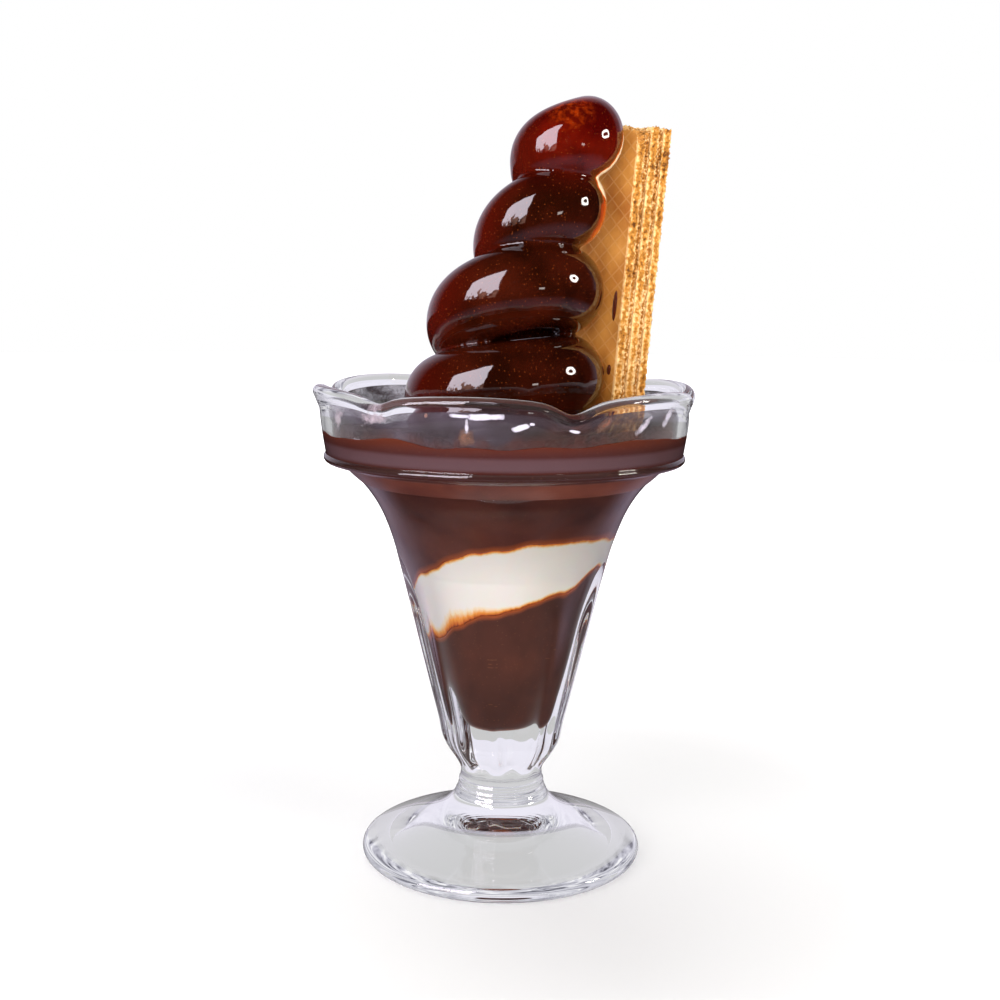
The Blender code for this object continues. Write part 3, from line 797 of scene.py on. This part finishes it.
def rope_path():
    """Points and sizes along the rope, in a space as much lower as the rope is taller than wide."""
    spots = []
    for half_turn, (start, end) in enumerate(zip(COIL_SIDES, COIL_SIDES[1:])):
        bow = abs(end[0] - start[0]) / 2
        steps = math.ceil(math.pi * bow / ROPE_STEP)
        for step in range(steps + (half_turn == len(COIL_SIDES) - 2)):
            share = step / steps
            x = start[0] + (end[0] - start[0]) * (1 - math.cos(math.pi * share)) / 2
            y = bow * math.sin(math.pi * share) * (1 if half_turn % 2 else -1)
            size = start[2] + (end[2] - start[2]) * share + GLAZE_THICKNESS
            spots.append((Vector((x, y, rope_height(half_turn + share) / ROPE_TALLNESS)), size))
    # Both ends of the rope are rounded off.
    for first, second in ((1, 0), (-2, -1)):
        end, size = spots[second]
        onward = (end - spots[first][0]).normalized() * size
        cap = [
            (end + onward * math.sin(k / 8 * math.pi / 2), size * math.cos(k / 8 * math.pi / 2) + 1e-5)
            for k in range(1, 9)
        ]
        spots = cap[::-1] + spots if second == 0 else spots + cap
    return spots


def swirl_maker():
    """The rope of ice cream, swept along its coil."""
    path = rope_path()
    rope = bpy.data.curves.new("rope", "CURVE")
    rope.dimensions = "3D"
    rope.twist_mode = "Z_UP"
    rope.bevel_depth = 1.0
    rope.bevel_resolution = 14
    rope.use_fill_caps = True
    line = rope.splines.new("POLY")
    line.points.add(len(path) - 1)
    for spot, (place, size) in zip(line.points, path):
        spot.co = (*place, 1.0)
        spot.radius = size
    swept = bpy.data.objects.new("rope", rope)
    bpy.context.scene.collection.objects.link(swept)
    bpy.context.view_layer.update()
    maker = bmesh.new()
    maker.from_mesh(swept.to_mesh())
    bpy.data.objects.remove(swept)
    bmesh.ops.scale(maker, vec=(1, 1, ROPE_TALLNESS), verts=maker.verts)
    return maker


def fused(maker, voxel):
    """The outer skin of overlapping closed shapes, as one even mesh."""
    rough = make_piece("rough_shape", maker, None)
    remesh = rough.modifiers.new("fuse", "REMESH")
    remesh.mode = "VOXEL"
    remesh.voxel_size = voxel
    bpy.context.view_layer.update()
    whole = bmesh.new()
    whole.from_mesh(rough.evaluated_get(bpy.context.evaluated_depsgraph_get()).to_mesh())
    bpy.data.objects.remove(rough)
    return whole


wafer_along, wafer_across, wafer_through = wafer_axes()
swirl_bm = fused(swirl_maker(), SWIRL_VOXEL)
for _ in range(SWIRL_SMOOTHING):
    bmesh.ops.smooth_vert(
        swirl_bm, verts=swirl_bm.verts, factor=0.5, use_axis_x=True, use_axis_y=True, use_axis_z=True
    )
# The wafer presses the coil flat on its side.
for vertex in swirl_bm.verts:
    past = (vertex.co - WAFER_FOOT).dot(wafer_through) + WAFER_CLEARANCE
    if past > 0:
        vertex.co -= wafer_through * past
    vertex.co.z = max(vertex.co.z, SAUCE_LEVEL - SWIRL_DIP)


GLIMMER_MIDDLE = (0.0175, -0.0090, 0.2150)
# The bare strip beside the wafer, as (height, width). It runs up the right edge of every turn, so
# it is wide in the creases, and widest of all under the top turn.
BARE_STRIP = (
    (0.1400, 0.0024),
    (0.1450, 0.0022),
    (0.1500, 0.0042),
    (0.1540, 0.0072),
    (0.1580, 0.0080),
    (0.1610, 0.0050),
    (0.1660, 0.0040),
    (0.1720, 0.0052),
    (0.1763, 0.0080),
    (0.1800, 0.0110),
    (0.1837, 0.0080),
    (0.1870, 0.0058),
    (0.1900, 0.0053),
    (0.1935, 0.0056),
    (0.1955, 0.0092),
    (0.1975, 0.0112),
    (0.2000, 0.0112),
    (0.2017, 0.0104),
    (0.2032, 0.0078),
    (0.2047, 0.0066),
    (0.2070, 0.0055),
    (0.2100, 0.0043),
    (0.2130, 0.0038),
    (0.2160, 0.0010),
)
# The strip of thin glaze beyond it, as (height, width).
THIN_STRIP = (
    (0.1500, 0.0016),
    (0.1800, 0.0018),
    (0.1850, 0.0062),
    (0.1925, 0.0066),
    (0.1955, 0.0014),
    (0.2150, 0.0012),
)
STRIP_FRAY = 0.0003
STRIP_FRAY_GRAIN = 700


def glaze_share(point):
    """How thick the glaze lies: 1 over the coil, less where the wafer kept it off."""
    beside = (WAFER_FOOT - point).dot(wafer_through)
    bare, thin = (float(np.interp(point.z, *zip(*strip))) for strip in (BARE_STRIP, THIN_STRIP))
    return (beside - bare + STRIP_FRAY * noise.noise(point * STRIP_FRAY_GRAIN)) / thin


# Chocolate dipping glaze: cocoa in clear syrup and fat, glossy as lacquer. It is deep brown
# where it is thick, and red to amber where light gets through to the ice cream.
glaze, glaze_tree, glaze_shader = new_material("chocolate_dipping_glaze", Roughness=0.05, IOR=1.47)
coords = add_node(glaze_tree, "TexCoord")
place = add_node(glaze_tree, "SeparateXYZ", {"Vector": (coords, "Object")})
clouds = add_node(glaze_tree, "TexNoise", {"Vector": (coords, "Object"), "Scale": 90.0, "Detail": 4.0})
# Near the tip the glaze is painted redder: partly thinner glaze over the ice cream, partly painted light
# glowing through it.
up = add_node(glaze_tree, "MapRange", {"Value": (place, "Z"), "From Min": 0.194, "From Max": 0.212})
deep = add_node(glaze_tree, "ValToRGB", {"Fac": (clouds, "Fac")}, ramp=((0.35, "1b0501"), (0.7, "330d04")))
red = add_node(glaze_tree, "ValToRGB", {"Fac": (clouds, "Fac")}, ramp=((0.38, "360201"), (0.66, "580b02")))
body = add_node(
    glaze_tree, "MixRGB", {"Fac": (up, "Result"), "Color1": (deep, "Color"), "Color2": (red, "Color")}
)
# Painted light: turns that face the window at the left are painted redder.
lit = add_node(glaze_tree, "Attribute", attribute_name="lit")
painted_lit_side = add_node(
    glaze_tree, "MixRGB", {"Fac": (lit, "Fac"), "Color1": (body, "Color"), "Color2": srgb("420a03")}
)
# Near the tip the ice cream glimmers through in orange flecks.
from_tip = add_node(
    glaze_tree, "VectorMath", {0: (coords, "Object"), 1: GLIMMER_MIDDLE}, operation="DISTANCE"
)
near_tip = add_node(
    glaze_tree,
    "MapRange",
    {"Value": (from_tip, "Value"), "From Min": 0.001, "From Max": 0.009, "To Min": 0.40, "To Max": -0.05},
)
flecks = add_node(glaze_tree, "TexNoise", {"Vector": (coords, "Object"), "Scale": 620.0, "Detail": 4.0})
fleck_share = add_node(
    glaze_tree,
    "MapRange",
    {"Value": (flecks, "Fac"), "From Min": 0.44, "From Max": 0.66, "To Min": 0.15, "To Max": 1.8},
)
glimmer = add_node(
    glaze_tree,
    "Math",
    {0: (near_tip, "Result"), 1: (fleck_share, "Result")},
    operation="MULTIPLY",
    use_clamp=True,
)
tipped = add_node(
    glaze_tree, "MixRGB", {"Fac": (glimmer, "Value"), "Color1": (painted_lit_side, "Color"), "Color2": srgb("c84408")}
)
grains = add_node(glaze_tree, "TexVoronoi", {"Vector": (coords, "Object"), "Scale": 950.0})
grain_mask = add_node(
    glaze_tree,
    "MapRange",
    {"Value": (grains, "Distance"), "From Min": 0.05, "From Max": 0.15, "To Min": 0.7, "To Max": 0.0},
)
speckled = add_node(
    glaze_tree,
    "MixRGB",
    {"Fac": (grain_mask, "Result"), "Color1": (tipped, "Color"), "Color2": srgb("8a451c")},
)
cover = add_node(glaze_tree, "Attribute", attribute_name="glaze")
thinning = add_node(
    glaze_tree,
    "ValToRGB",
    {"Fac": (cover, "Fac")},
    ramp=((0.0, "f2e4c4"), (1.0, "4a1206"), (0.10, "e4b878"), (0.22, "c8641c"), (0.6, "9a300a")),
)
covered = add_node(glaze_tree, "MapRange", {"Value": (cover, "Fac"), "From Min": 0.75, "From Max": 1.1})
coloured = add_node(
    glaze_tree,
    "MixRGB",
    {"Fac": (covered, "Result"), "Color1": (thinning, "Color"), "Color2": (speckled, "Color")},
)
glaze_tree.links.new(coloured.outputs["Color"], glaze_shader.inputs["Base Color"])
swirl = make_piece("glazed_soft_serve_coil", swirl_bm, glaze)
set_attribute(swirl, "glaze", glaze_share)
# Painted light: how far each vertex faces left, towards the window, sets how much redder it is painted.
painted_light_left = [smooth_step((-vertex.normal.x - 0.3) / 0.7) for vertex in swirl.data.vertices]
swirl.data.attributes.new("lit", "FLOAT", "POINT").data.foreach_set("value", painted_light_left)
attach(swirl, "root")
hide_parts("glazed_swirl")


# ---------------------------------------------------------------------------------------------
# Wafer. Three crisp batter sheets baked between patterned plates, which leave a raised diamond
# net on both faces, with two layers of filling. It is sawn from a block, so its sides crumble.
# ---------------------------------------------------------------------------------------------
WAFER_LENGTH = 0.0965
WAFER_WIDTH = 0.032
SHEET_THICKNESS = 0.0023
CREAM_THICKNESS = 0.00125
LAYER_GAP = 0.0003
CREAM_INSET = 0.0005
# The raised net left by the baking plates: size of its diamonds, and how much a line takes up.
NET_ACROSS = 0.0076
NET_ALONG = 0.0049
NET_LINE = 0.09
SHEET_MESH = 0.00045
SIDE_CUTS = 5
# Depth of the crumbling sides, and how finely they are pitted and bitten.
RAGGED = 0.0009
RAGGED_INSET = 0.0002
PIT_GRAIN = 1500
BITE_GRAIN = 420
BITE_SHARE = 0.6
# How far in from its sides and top a flat face counts as sawn.
SAWN_MARGIN = 0.0012
CHIP_REACH = 0.0070
# How much of the top front corner has broken off each layer.
CHIPS = (0.0026, 0.0010, 0.0, 0.0, 0.0)
WAFER_TURNED = Matrix((wafer_through, wafer_across, wafer_along)).transposed().to_4x4()
WAFER_PLACE = Matrix.Translation(WAFER_FOOT) @ WAFER_TURNED


def slab_maker(start, thickness, inset, seed, broken):
    """A slab of wafer with crumbling sides and a broken top corner, in the wafer's own directions:
    through, across and along."""
    maker = bmesh.new()
    wide, long = WAFER_WIDTH - 2 * inset, WAFER_LENGTH - inset
    bmesh.ops.create_grid(
        maker, x_segments=round(wide / SHEET_MESH), y_segments=round(long / SHEET_MESH), size=0.5
    )
    for vertex in maker.verts:
        across, along = vertex.co.x + 0.5, vertex.co.y + 0.5
        vertex.co = (start, inset + wide * across, long * along)
    grown = bmesh.ops.extrude_face_region(maker, geom=maker.faces[:])["geom"]
    for vertex in [v for v in grown if isinstance(v, bmesh.types.BMVert)]:
        vertex.co.x += thickness
    walls = [e for e in maker.edges if abs(e.verts[0].co.x - e.verts[1].co.x) > thickness / 2]
    bmesh.ops.subdivide_edges(maker, edges=walls, cuts=SIDE_CUTS, use_grid_fill=True)
    for vertex in maker.verts:
        through, across, along = vertex.co
        near, far, top = across - inset, inset + wide - across, long - along
        chip = broken * smooth_step(1 - near / CHIP_REACH) * smooth_step(1 - top / CHIP_REACH)
        vertex.co.z -= chip
        vertex.co.y += 0.5 * chip
        if min(near, far, top) > 1e-5:
            continue
        # Crumbs break away in small pits, and here and there in larger bites.
        spot = Vector((through * 1.3, across, along))
        pits = noise.noise(spot * PIT_GRAIN + Vector((seed, 0, 0)))
        bites = BITE_SHARE * noise.noise(spot * BITE_GRAIN)
        rag = RAGGED * (pits + bites) - RAGGED_INSET
        if near < 1e-5:
            vertex.co.y -= rag
        if far < 1e-5:
            vertex.co.y += rag
        if top < 1e-5:
            vertex.co.z += rag
    return maker


def store_place(piece, start, thickness):
    """Keeps each vertex's place in the wafer, if it lies on a flat face, and how near to the crust."""
    back = WAFER_PLACE.inverted()
    spots = [back @ vertex.co for vertex in piece.data.vertices]
    flat = [v for spot in spots for v in spot]
    piece.data.attributes.new("place", "FLOAT_VECTOR", "POINT").data.foreach_set("vector", flat)
    inside = [
        float(SAWN_MARGIN < spot.y < WAFER_WIDTH - SAWN_MARGIN and spot.z < WAFER_LENGTH - SAWN_MARGIN)
        for spot in spots
    ]
    piece.data.attributes.new("face", "FLOAT", "POINT").data.foreach_set("value", inside)
    crusts = [abs(2 * (spot.x - start) / thickness - 1) ** 2 for spot in spots]
    piece.data.attributes.new("crust", "FLOAT", "POINT").data.foreach_set("value", crusts)


def crumb_material(name, painted_pore_shade, dark, middle, light, grain, net):
    """Dry baked crumb: matt, with painted shade in its pores and painted light on its crests."""
    made, tree, shader = new_material(name, Roughness=0.75, IOR=1.4, Specular_IOR_Level=0.3)
    coords = add_node(tree, "TexCoord")
    toast = add_node(tree, "TexNoise", {"Vector": (coords, "Object"), "Scale": 70.0, "Detail": 4.0})
    pores = add_node(tree, "TexNoise", {"Vector": (coords, "Object"), "Scale": grain, "Detail": 3.0})
    mixed = add_node(tree, "Math", {0: (pores, "Fac"), 1: 1.6, 2: (toast, "Fac")}, operation="MULTIPLY_ADD")
    halved = add_node(tree, "Math", {0: (mixed, "Value"), 1: 2.6}, operation="DIVIDE")
    crust = add_node(tree, "Attribute", attribute_name="crust")
    tone = add_node(
        tree, "Math", {0: (crust, "Fac"), 1: 0.16, 2: (halved, "Value")}, operation="MULTIPLY_ADD"
    )
    face = add_node(tree, "Attribute", attribute_name="face")
    # Where the crumb is sawn open its pores are painted dark as shade and its crests light, and the flat
    # faces keep an even toast.
    sawn = add_node(
        tree,
        "ValToRGB",
        {"Fac": (tone, "Value")},
        ramp=((0.40, painted_pore_shade), (0.68, light), (0.45, dark), (0.55, middle)),
    )
    baked = add_node(
        tree, "ValToRGB", {"Fac": (toast, "Fac")}, ramp=((0.32, "9c6226"), (0.68, "cc9448"))
    )
    place = add_node(tree, "Attribute", attribute_name="place")
    axes = add_node(tree, "SeparateXYZ", {"Vector": (place, "Vector")})
    across = add_node(tree, "Math", {0: (axes, "Y"), 1: 1 / NET_ACROSS}, operation="MULTIPLY")
    lines = []
    for slope in (1, -1):
        phase = add_node(
            tree,
            "Math",
            {0: (axes, "Z"), 1: slope / NET_ALONG, 2: (across, "Value")},
            operation="MULTIPLY_ADD",
        )
        lines.append(add_node(tree, "Math", {0: (phase, "Value"), 1: 0.5}, operation="PINGPONG"))
    nearest = add_node(tree, "Math", {0: (lines[0], "Value"), 1: (lines[1], "Value")}, operation="MINIMUM")
    ridge = add_node(
        tree,
        "MapRange",
        {
            "Value": (nearest, "Value"),
            "From Min": NET_LINE * 0.3,
            "From Max": NET_LINE,
            "To Min": net,
            "To Max": 0.0,
        },
        interpolation_type="SMOOTHSTEP",
    )
    # Painted light: the raised net's ridges are painted lighter, as if they caught the light.
    net_with_painted_light = add_node(
        tree, "MixRGB", {"Fac": (ridge, "Result"), "Color1": (baked, "Color"), "Color2": srgb("dcb478")}
    )
    colour = add_node(
        tree, "MixRGB", {"Fac": (face, "Fac"), "Color1": (sawn, "Color"), "Color2": (net_with_painted_light, "Color")}
    )
    rough = add_node(
        tree, "Math", {0: (pores, "Fac"), 1: 0.35, 2: (ridge, "Result")}, operation="MULTIPLY_ADD"
    )
    bump = add_node(tree, "Bump", {"Height": (rough, "Value"), "Strength": 0.8, "Distance": 0.0004})
    tree.links.new(colour.outputs["Color"], shader.inputs["Base Color"])
    tree.links.new(bump.outputs["Normal"], shader.inputs["Normal"])
    return made


crisp = crumb_material("baked_wafer_crisp", "5e360f", "945f20", "b87c2e", "eac488", 900.0, 0.20)
filling = crumb_material("wafer_filling", "54300e", "7e4c18", "a86e28", "ecca94", 1300.0, 0.0)
depth = 0.0
for layer in range(5):
    is_sheet = layer % 2 == 0
    thickness = SHEET_THICKNESS if is_sheet else CREAM_THICKNESS
    kind = "sheet" if is_sheet else "cream"
    maker = slab_maker(depth, thickness, 0.0 if is_sheet else CREAM_INSET, layer * 7.3, CHIPS[layer])
    maker.transform(WAFER_PLACE)
    piece = make_piece(f"wafer_{kind}_layer_{layer // 2 + 1}", maker, crisp if is_sheet else filling)
    store_place(piece, depth, thickness)
    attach(piece, "root")
    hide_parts(f"wafer_{kind}_{layer // 2 + 1}")
    depth += thickness + LAYER_GAP


# ---------------------------------------------------------------------------------------------
# Drops. Glaze that ran on to the wafer's face and set there in two drops. Each is a thin blob.
# ---------------------------------------------------------------------------------------------
# Place across and along the wafer, half width and half length.
DROPS = ((0.0042, 0.0455, 0.0010, 0.0044), (0.0040, 0.0270, 0.0010, 0.0015))
DROP_THICKNESS = 0.0005
# Thickness of the glaze in the drops, in the swirl's measure: a little less than on the coil.
DROP_GLAZE = 0.95

drops_bm = bmesh.new()
for across, along, half_width, half_length in DROPS:
    drop = bmesh.ops.create_uvsphere(drops_bm, u_segments=24, v_segments=12, radius=1.0)["verts"]
    bmesh.ops.scale(drops_bm, vec=(DROP_THICKNESS, half_width, half_length), verts=drop)
    bmesh.ops.translate(drops_bm, vec=(0.0, across, along), verts=drop)
drops_bm.transform(WAFER_PLACE)
drops = make_piece("glaze_drops_on_wafer", drops_bm, glaze)
set_attribute(drops, "glaze", lambda point: DROP_GLAZE)
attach(drops, "root")


# ---------------------------------------------------------------------------------------------
# Studio. A pale floor and a white surround, a window at the front left, a lamp at the right,
# and the camera.
# ---------------------------------------------------------------------------------------------
FLOOR_SIZE = 3.0
# Where mirrored light sees the floor dim near the glass, then pale, then dark far away.
DIM_REACH = 0.13
PALE_START = 0.19
PALE_REACH = 0.25
DARK_START = 0.46
CAMERA_AWAY = 0.4142
CAMERA_HEIGHT = 0.1712
CAMERA_PITCH = math.radians(8.752)
CAMERA_ROLL = math.radians(0.59)
CAMERA_LENS = 51.16
CAMERA_SHIFT = -0.004

floor_bm = bmesh.new()
bmesh.ops.create_circle(floor_bm, cap_ends=True, radius=FLOOR_SIZE, segments=96)
floor_finish, floor_tree, floor_shader = new_material("pale_floor", Roughness=0.6)
coords = add_node(floor_tree, "TexCoord")
spread = add_node(floor_tree, "VectorMath", {0: (coords, "Object")}, operation="LENGTH")
tone = add_node(floor_tree, "ValToRGB", {"Fac": (spread, "Value")}, ramp=((0.10, "dcdedb"), (0.5, "ffffff")))
glow = add_node(
    floor_tree,
    "MapRange",
    {"Value": (spread, "Value"), "From Min": 0.12, "From Max": 0.6, "To Min": 0.0, "To Max": 0.7},
)
floor_tree.links.new(tone.outputs["Color"], floor_shader.inputs["Base Color"])
floor_tree.links.new(glow.outputs["Result"], floor_shader.inputs["Emission Strength"])
floor_shader.inputs["Emission Color"].default_value = srgb("ffffff")
# Mirror reflections see a dim floor near the glass, a pale one round it and a dark room beyond;
# light bent through the glass sees the floor evenly bright.
ray = add_node(floor_tree, "LightPath")
mirrored_tone = add_node(
    floor_tree,
    "ValToRGB",
    {"Fac": (spread, "Value")},
    ramp=(
        (DIM_REACH, "40363c"),
        (DARK_START, "241a1e"),
        (PALE_START, "a898ae"),
        (PALE_REACH, "b4a4ba"),
    ),
)
reflected = add_node(floor_tree, "Emission", {"Color": (mirrored_tone, "Color"), "Strength": 1.0})
mirrored_floor = add_node(
    floor_tree,
    "MixShader",
    {0: (ray, "Is Glossy Ray"), 1: (floor_shader, "BSDF"), 2: (reflected, "Emission")},
)
even = add_node(floor_tree, "Emission", {"Color": srgb("e9eae7"), "Strength": 1.0})
bright = add_node(floor_tree, "Math", {0: (ray, "Is Transmission Ray"), 1: 0.8}, operation="MULTIPLY")
mixed_floor = add_node(
    floor_tree, "MixShader", {0: (bright, "Value"), 1: (mirrored_floor, "Shader"), 2: (even, "Emission")}
)
floor_tree.links.new(mixed_floor.outputs["Shader"], floor_tree.nodes["Material Output"].inputs["Surface"])
floor = make_piece("floor", floor_bm, floor_finish)
floor.location.z = cad_low.z - 0.0002

world = bpy.data.worlds.new("studio")
bpy.context.scene.world = world
world.use_nodes = True
world_tree = world.node_tree
background = world_tree.nodes["Background"]
coords = add_node(world_tree, "TexCoord")
way = add_node(world_tree, "SeparateXYZ", {"Vector": (coords, "Generated")})
behind = add_node(world_tree, "MapRange", {"Value": (way, "Y"), "From Min": 0.46, "From Max": 0.84})
mirrored = add_node(
    world_tree, "ValToRGB", {"Fac": (behind, "Result")}, ramp=((0.0, "1c1618"), (1.0, "d2cbdc"))
)
across = add_node(world_tree, "MapRange", {"Value": (way, "Y"), "From Min": -1.0, "From Max": 0.6})
refracted = add_node(
    world_tree,
    "ValToRGB",
    {"Fac": (across, "Result")},
    ramp=((0.0, "8a8690"), (1.0, "f6f4fc"), (0.45, "a8a4b2")),
)
ray = add_node(world_tree, "LightPath")
diffused = add_node(
    world_tree,
    "MixRGB",
    {"Fac": (ray, "Is Diffuse Ray"), "Color1": (mirrored, "Color"), "Color2": srgb("dedbe0")},
)
bent = add_node(
    world_tree,
    "MixRGB",
    {"Fac": (ray, "Is Transmission Ray"), "Color1": (diffused, "Color"), "Color2": (refracted, "Color")},
)
seen = add_node(
    world_tree, "MixRGB", {"Fac": (ray, "Is Camera Ray"), "Color1": (bent, "Color"), "Color2": srgb("ffffff")}
)
world_tree.links.new(seen.outputs["Color"], background.inputs["Color"])


def facing(place):
    """A turn that points -Z from a place at the coil's middle."""
    return (Vector((0.0, 0.0, 0.16)) - Vector(place)).to_track_quat("-Z", "Y").to_matrix().to_4x4()


def soft_light(name, place, wide, tall, energy, colour):
    """An oval area lamp that lights matt surfaces only: cards stand for it in reflections."""
    lamp = bpy.data.lights.new(name, "AREA")
    lamp.shape = "ELLIPSE"
    lamp.size, lamp.size_y, lamp.energy = wide, tall, energy
    lamp.color = srgb(colour)[:3]
    made = bpy.data.objects.new(name, lamp)
    bpy.context.scene.collection.objects.link(made)
    made.matrix_world = Matrix.Translation(place) @ facing(place)
    made.visible_glossy = False
    made.visible_transmission = False
    made.visible_camera = False


# The window is in the wall behind the camera, at the left. Only reflections see its panes, which
# show bright sky over an uneven, darker skyline.
WINDOW_LEFT = -2.05
WINDOW_RIGHT = -0.36
WINDOW_WALL = -0.85
WINDOW_BOTTOM = -0.30
WINDOW_TOP = 1.20
SKYLINE = 0.22
window_bm = bmesh.new()
bmesh.ops.create_grid(window_bm, x_segments=1, y_segments=1, size=0.5)
for vertex in window_bm.verts:
    x = WINDOW_LEFT + (WINDOW_RIGHT - WINDOW_LEFT) * (vertex.co.x + 0.5)
    z = WINDOW_BOTTOM + (WINDOW_TOP - WINDOW_BOTTOM) * (vertex.co.y + 0.5)
    vertex.co = (x, WINDOW_WALL, z)
window_finish, window_tree, _ = new_material("window_panes")
coords = add_node(window_tree, "TexCoord")
spot = add_node(window_tree, "SeparateXYZ", {"Vector": (coords, "Object")})
roofs = add_node(window_tree, "TexNoise", {"Vector": (coords, "Object"), "Scale": 5.0, "Detail": 7.0})
skyline = add_node(
    window_tree, "Math", {0: (roofs, "Fac"), 1: -1.3, 2: (spot, "Z")}, operation="MULTIPLY_ADD"
)
sky = add_node(
    window_tree,
    "MapRange",
    {"Value": (skyline, "Value"), "From Min": SKYLINE - 0.66, "From Max": SKYLINE - 0.62},
)
street = add_node(window_tree, "ValToRGB", {"Fac": (roofs, "Fac")}, ramp=((0.42, "1c100c"), (0.60, "c09888")))
panes = add_node(
    window_tree, "MixRGB", {"Fac": (sky, "Result"), "Color1": (street, "Color"), "Color2": srgb("efe6f2")}
)
power = add_node(window_tree, "MapRange", {"Value": (sky, "Result"), "To Min": 6.0, "To Max": 15.0})
glow = add_node(window_tree, "Emission", {"Color": (panes, "Color"), "Strength": (power, "Result")})
window_tree.links.new(glow.outputs["Emission"], window_tree.nodes["Material Output"].inputs["Surface"])
window = make_piece("window", window_bm, window_finish)
window.visible_camera = False
window.visible_diffuse = False
window.visible_transmission = False
window.visible_shadow = False

soft_light("window_light", (-0.75, -0.85, 0.50), 0.9, 0.7, 9.0, "f6f4ff")
soft_light("side_light", (0.75, -0.45, 0.50), 0.35, 0.5, 2.6, "fffaf2")
soft_light("front_light", (0.02, -1.0, 0.32), 0.5, 0.4, 7.5, "fffaf0")
soft_light("top_light", (-0.2, 0.5, 1.1), 0.8, 0.8, 6.0, "ffffff")

# A ring lamp at the right and a far window, which only reflections see.
for name, place, wide, tall, hole, strength in (
    ("ring_lamp", (0.66, -0.10, 0.33), 0.17, 0.17, 0.22, 34.0),
    ("far_window", (0.42, -0.62, 0.12), 0.13, 0.085, 0.0, 9.0),
):
    card_bm = bmesh.new()
    bmesh.ops.create_circle(card_bm, cap_ends=True, radius=0.5, segments=48 if hole else 4)
    if hole:
        inner = bmesh.ops.inset_region(
            card_bm, faces=card_bm.faces[:], thickness=0.5 - hole, use_boundary=True
        )["faces"]
        middle = [f for f in card_bm.faces if f not in inner]
        bmesh.ops.delete(card_bm, geom=middle, context="FACES_ONLY")
    else:
        bmesh.ops.rotate(card_bm, matrix=Matrix.Rotation(math.pi / 4, 3, "Z"), verts=card_bm.verts)
    card_bm.transform(Matrix.Translation(place) @ facing(place) @ Matrix.Diagonal((wide, tall, 1, 1)))
    card_finish, card_tree, _ = new_material(name + "_glow")
    shine = add_node(card_tree, "Emission", {"Color": srgb("fff8f2"), "Strength": strength})
    card_tree.links.new(shine.outputs["Emission"], card_tree.nodes["Material Output"].inputs["Surface"])
    card = make_piece(name, card_bm, card_finish)
    card.visible_camera = False
    card.visible_diffuse = False
    card.visible_transmission = False
    card.visible_shadow = False

camera_data = bpy.data.cameras.new("camera")
camera_data.lens = CAMERA_LENS
camera_data.sensor_width = 36.0
camera_data.shift_x = CAMERA_SHIFT
camera_data.clip_start = 0.01
camera = bpy.data.objects.new("camera", camera_data)
bpy.context.scene.collection.objects.link(camera)
tilt = Matrix.Rotation(math.pi / 2 - CAMERA_PITCH, 4, "X") @ Matrix.Rotation(CAMERA_ROLL, 4, "Z")
camera.matrix_world = Matrix.Translation((0.0, -CAMERA_AWAY, CAMERA_HEIGHT)) @ tilt
bpy.context.scene.camera = camera
bpy.context.scene.view_settings.view_transform = "Standard"
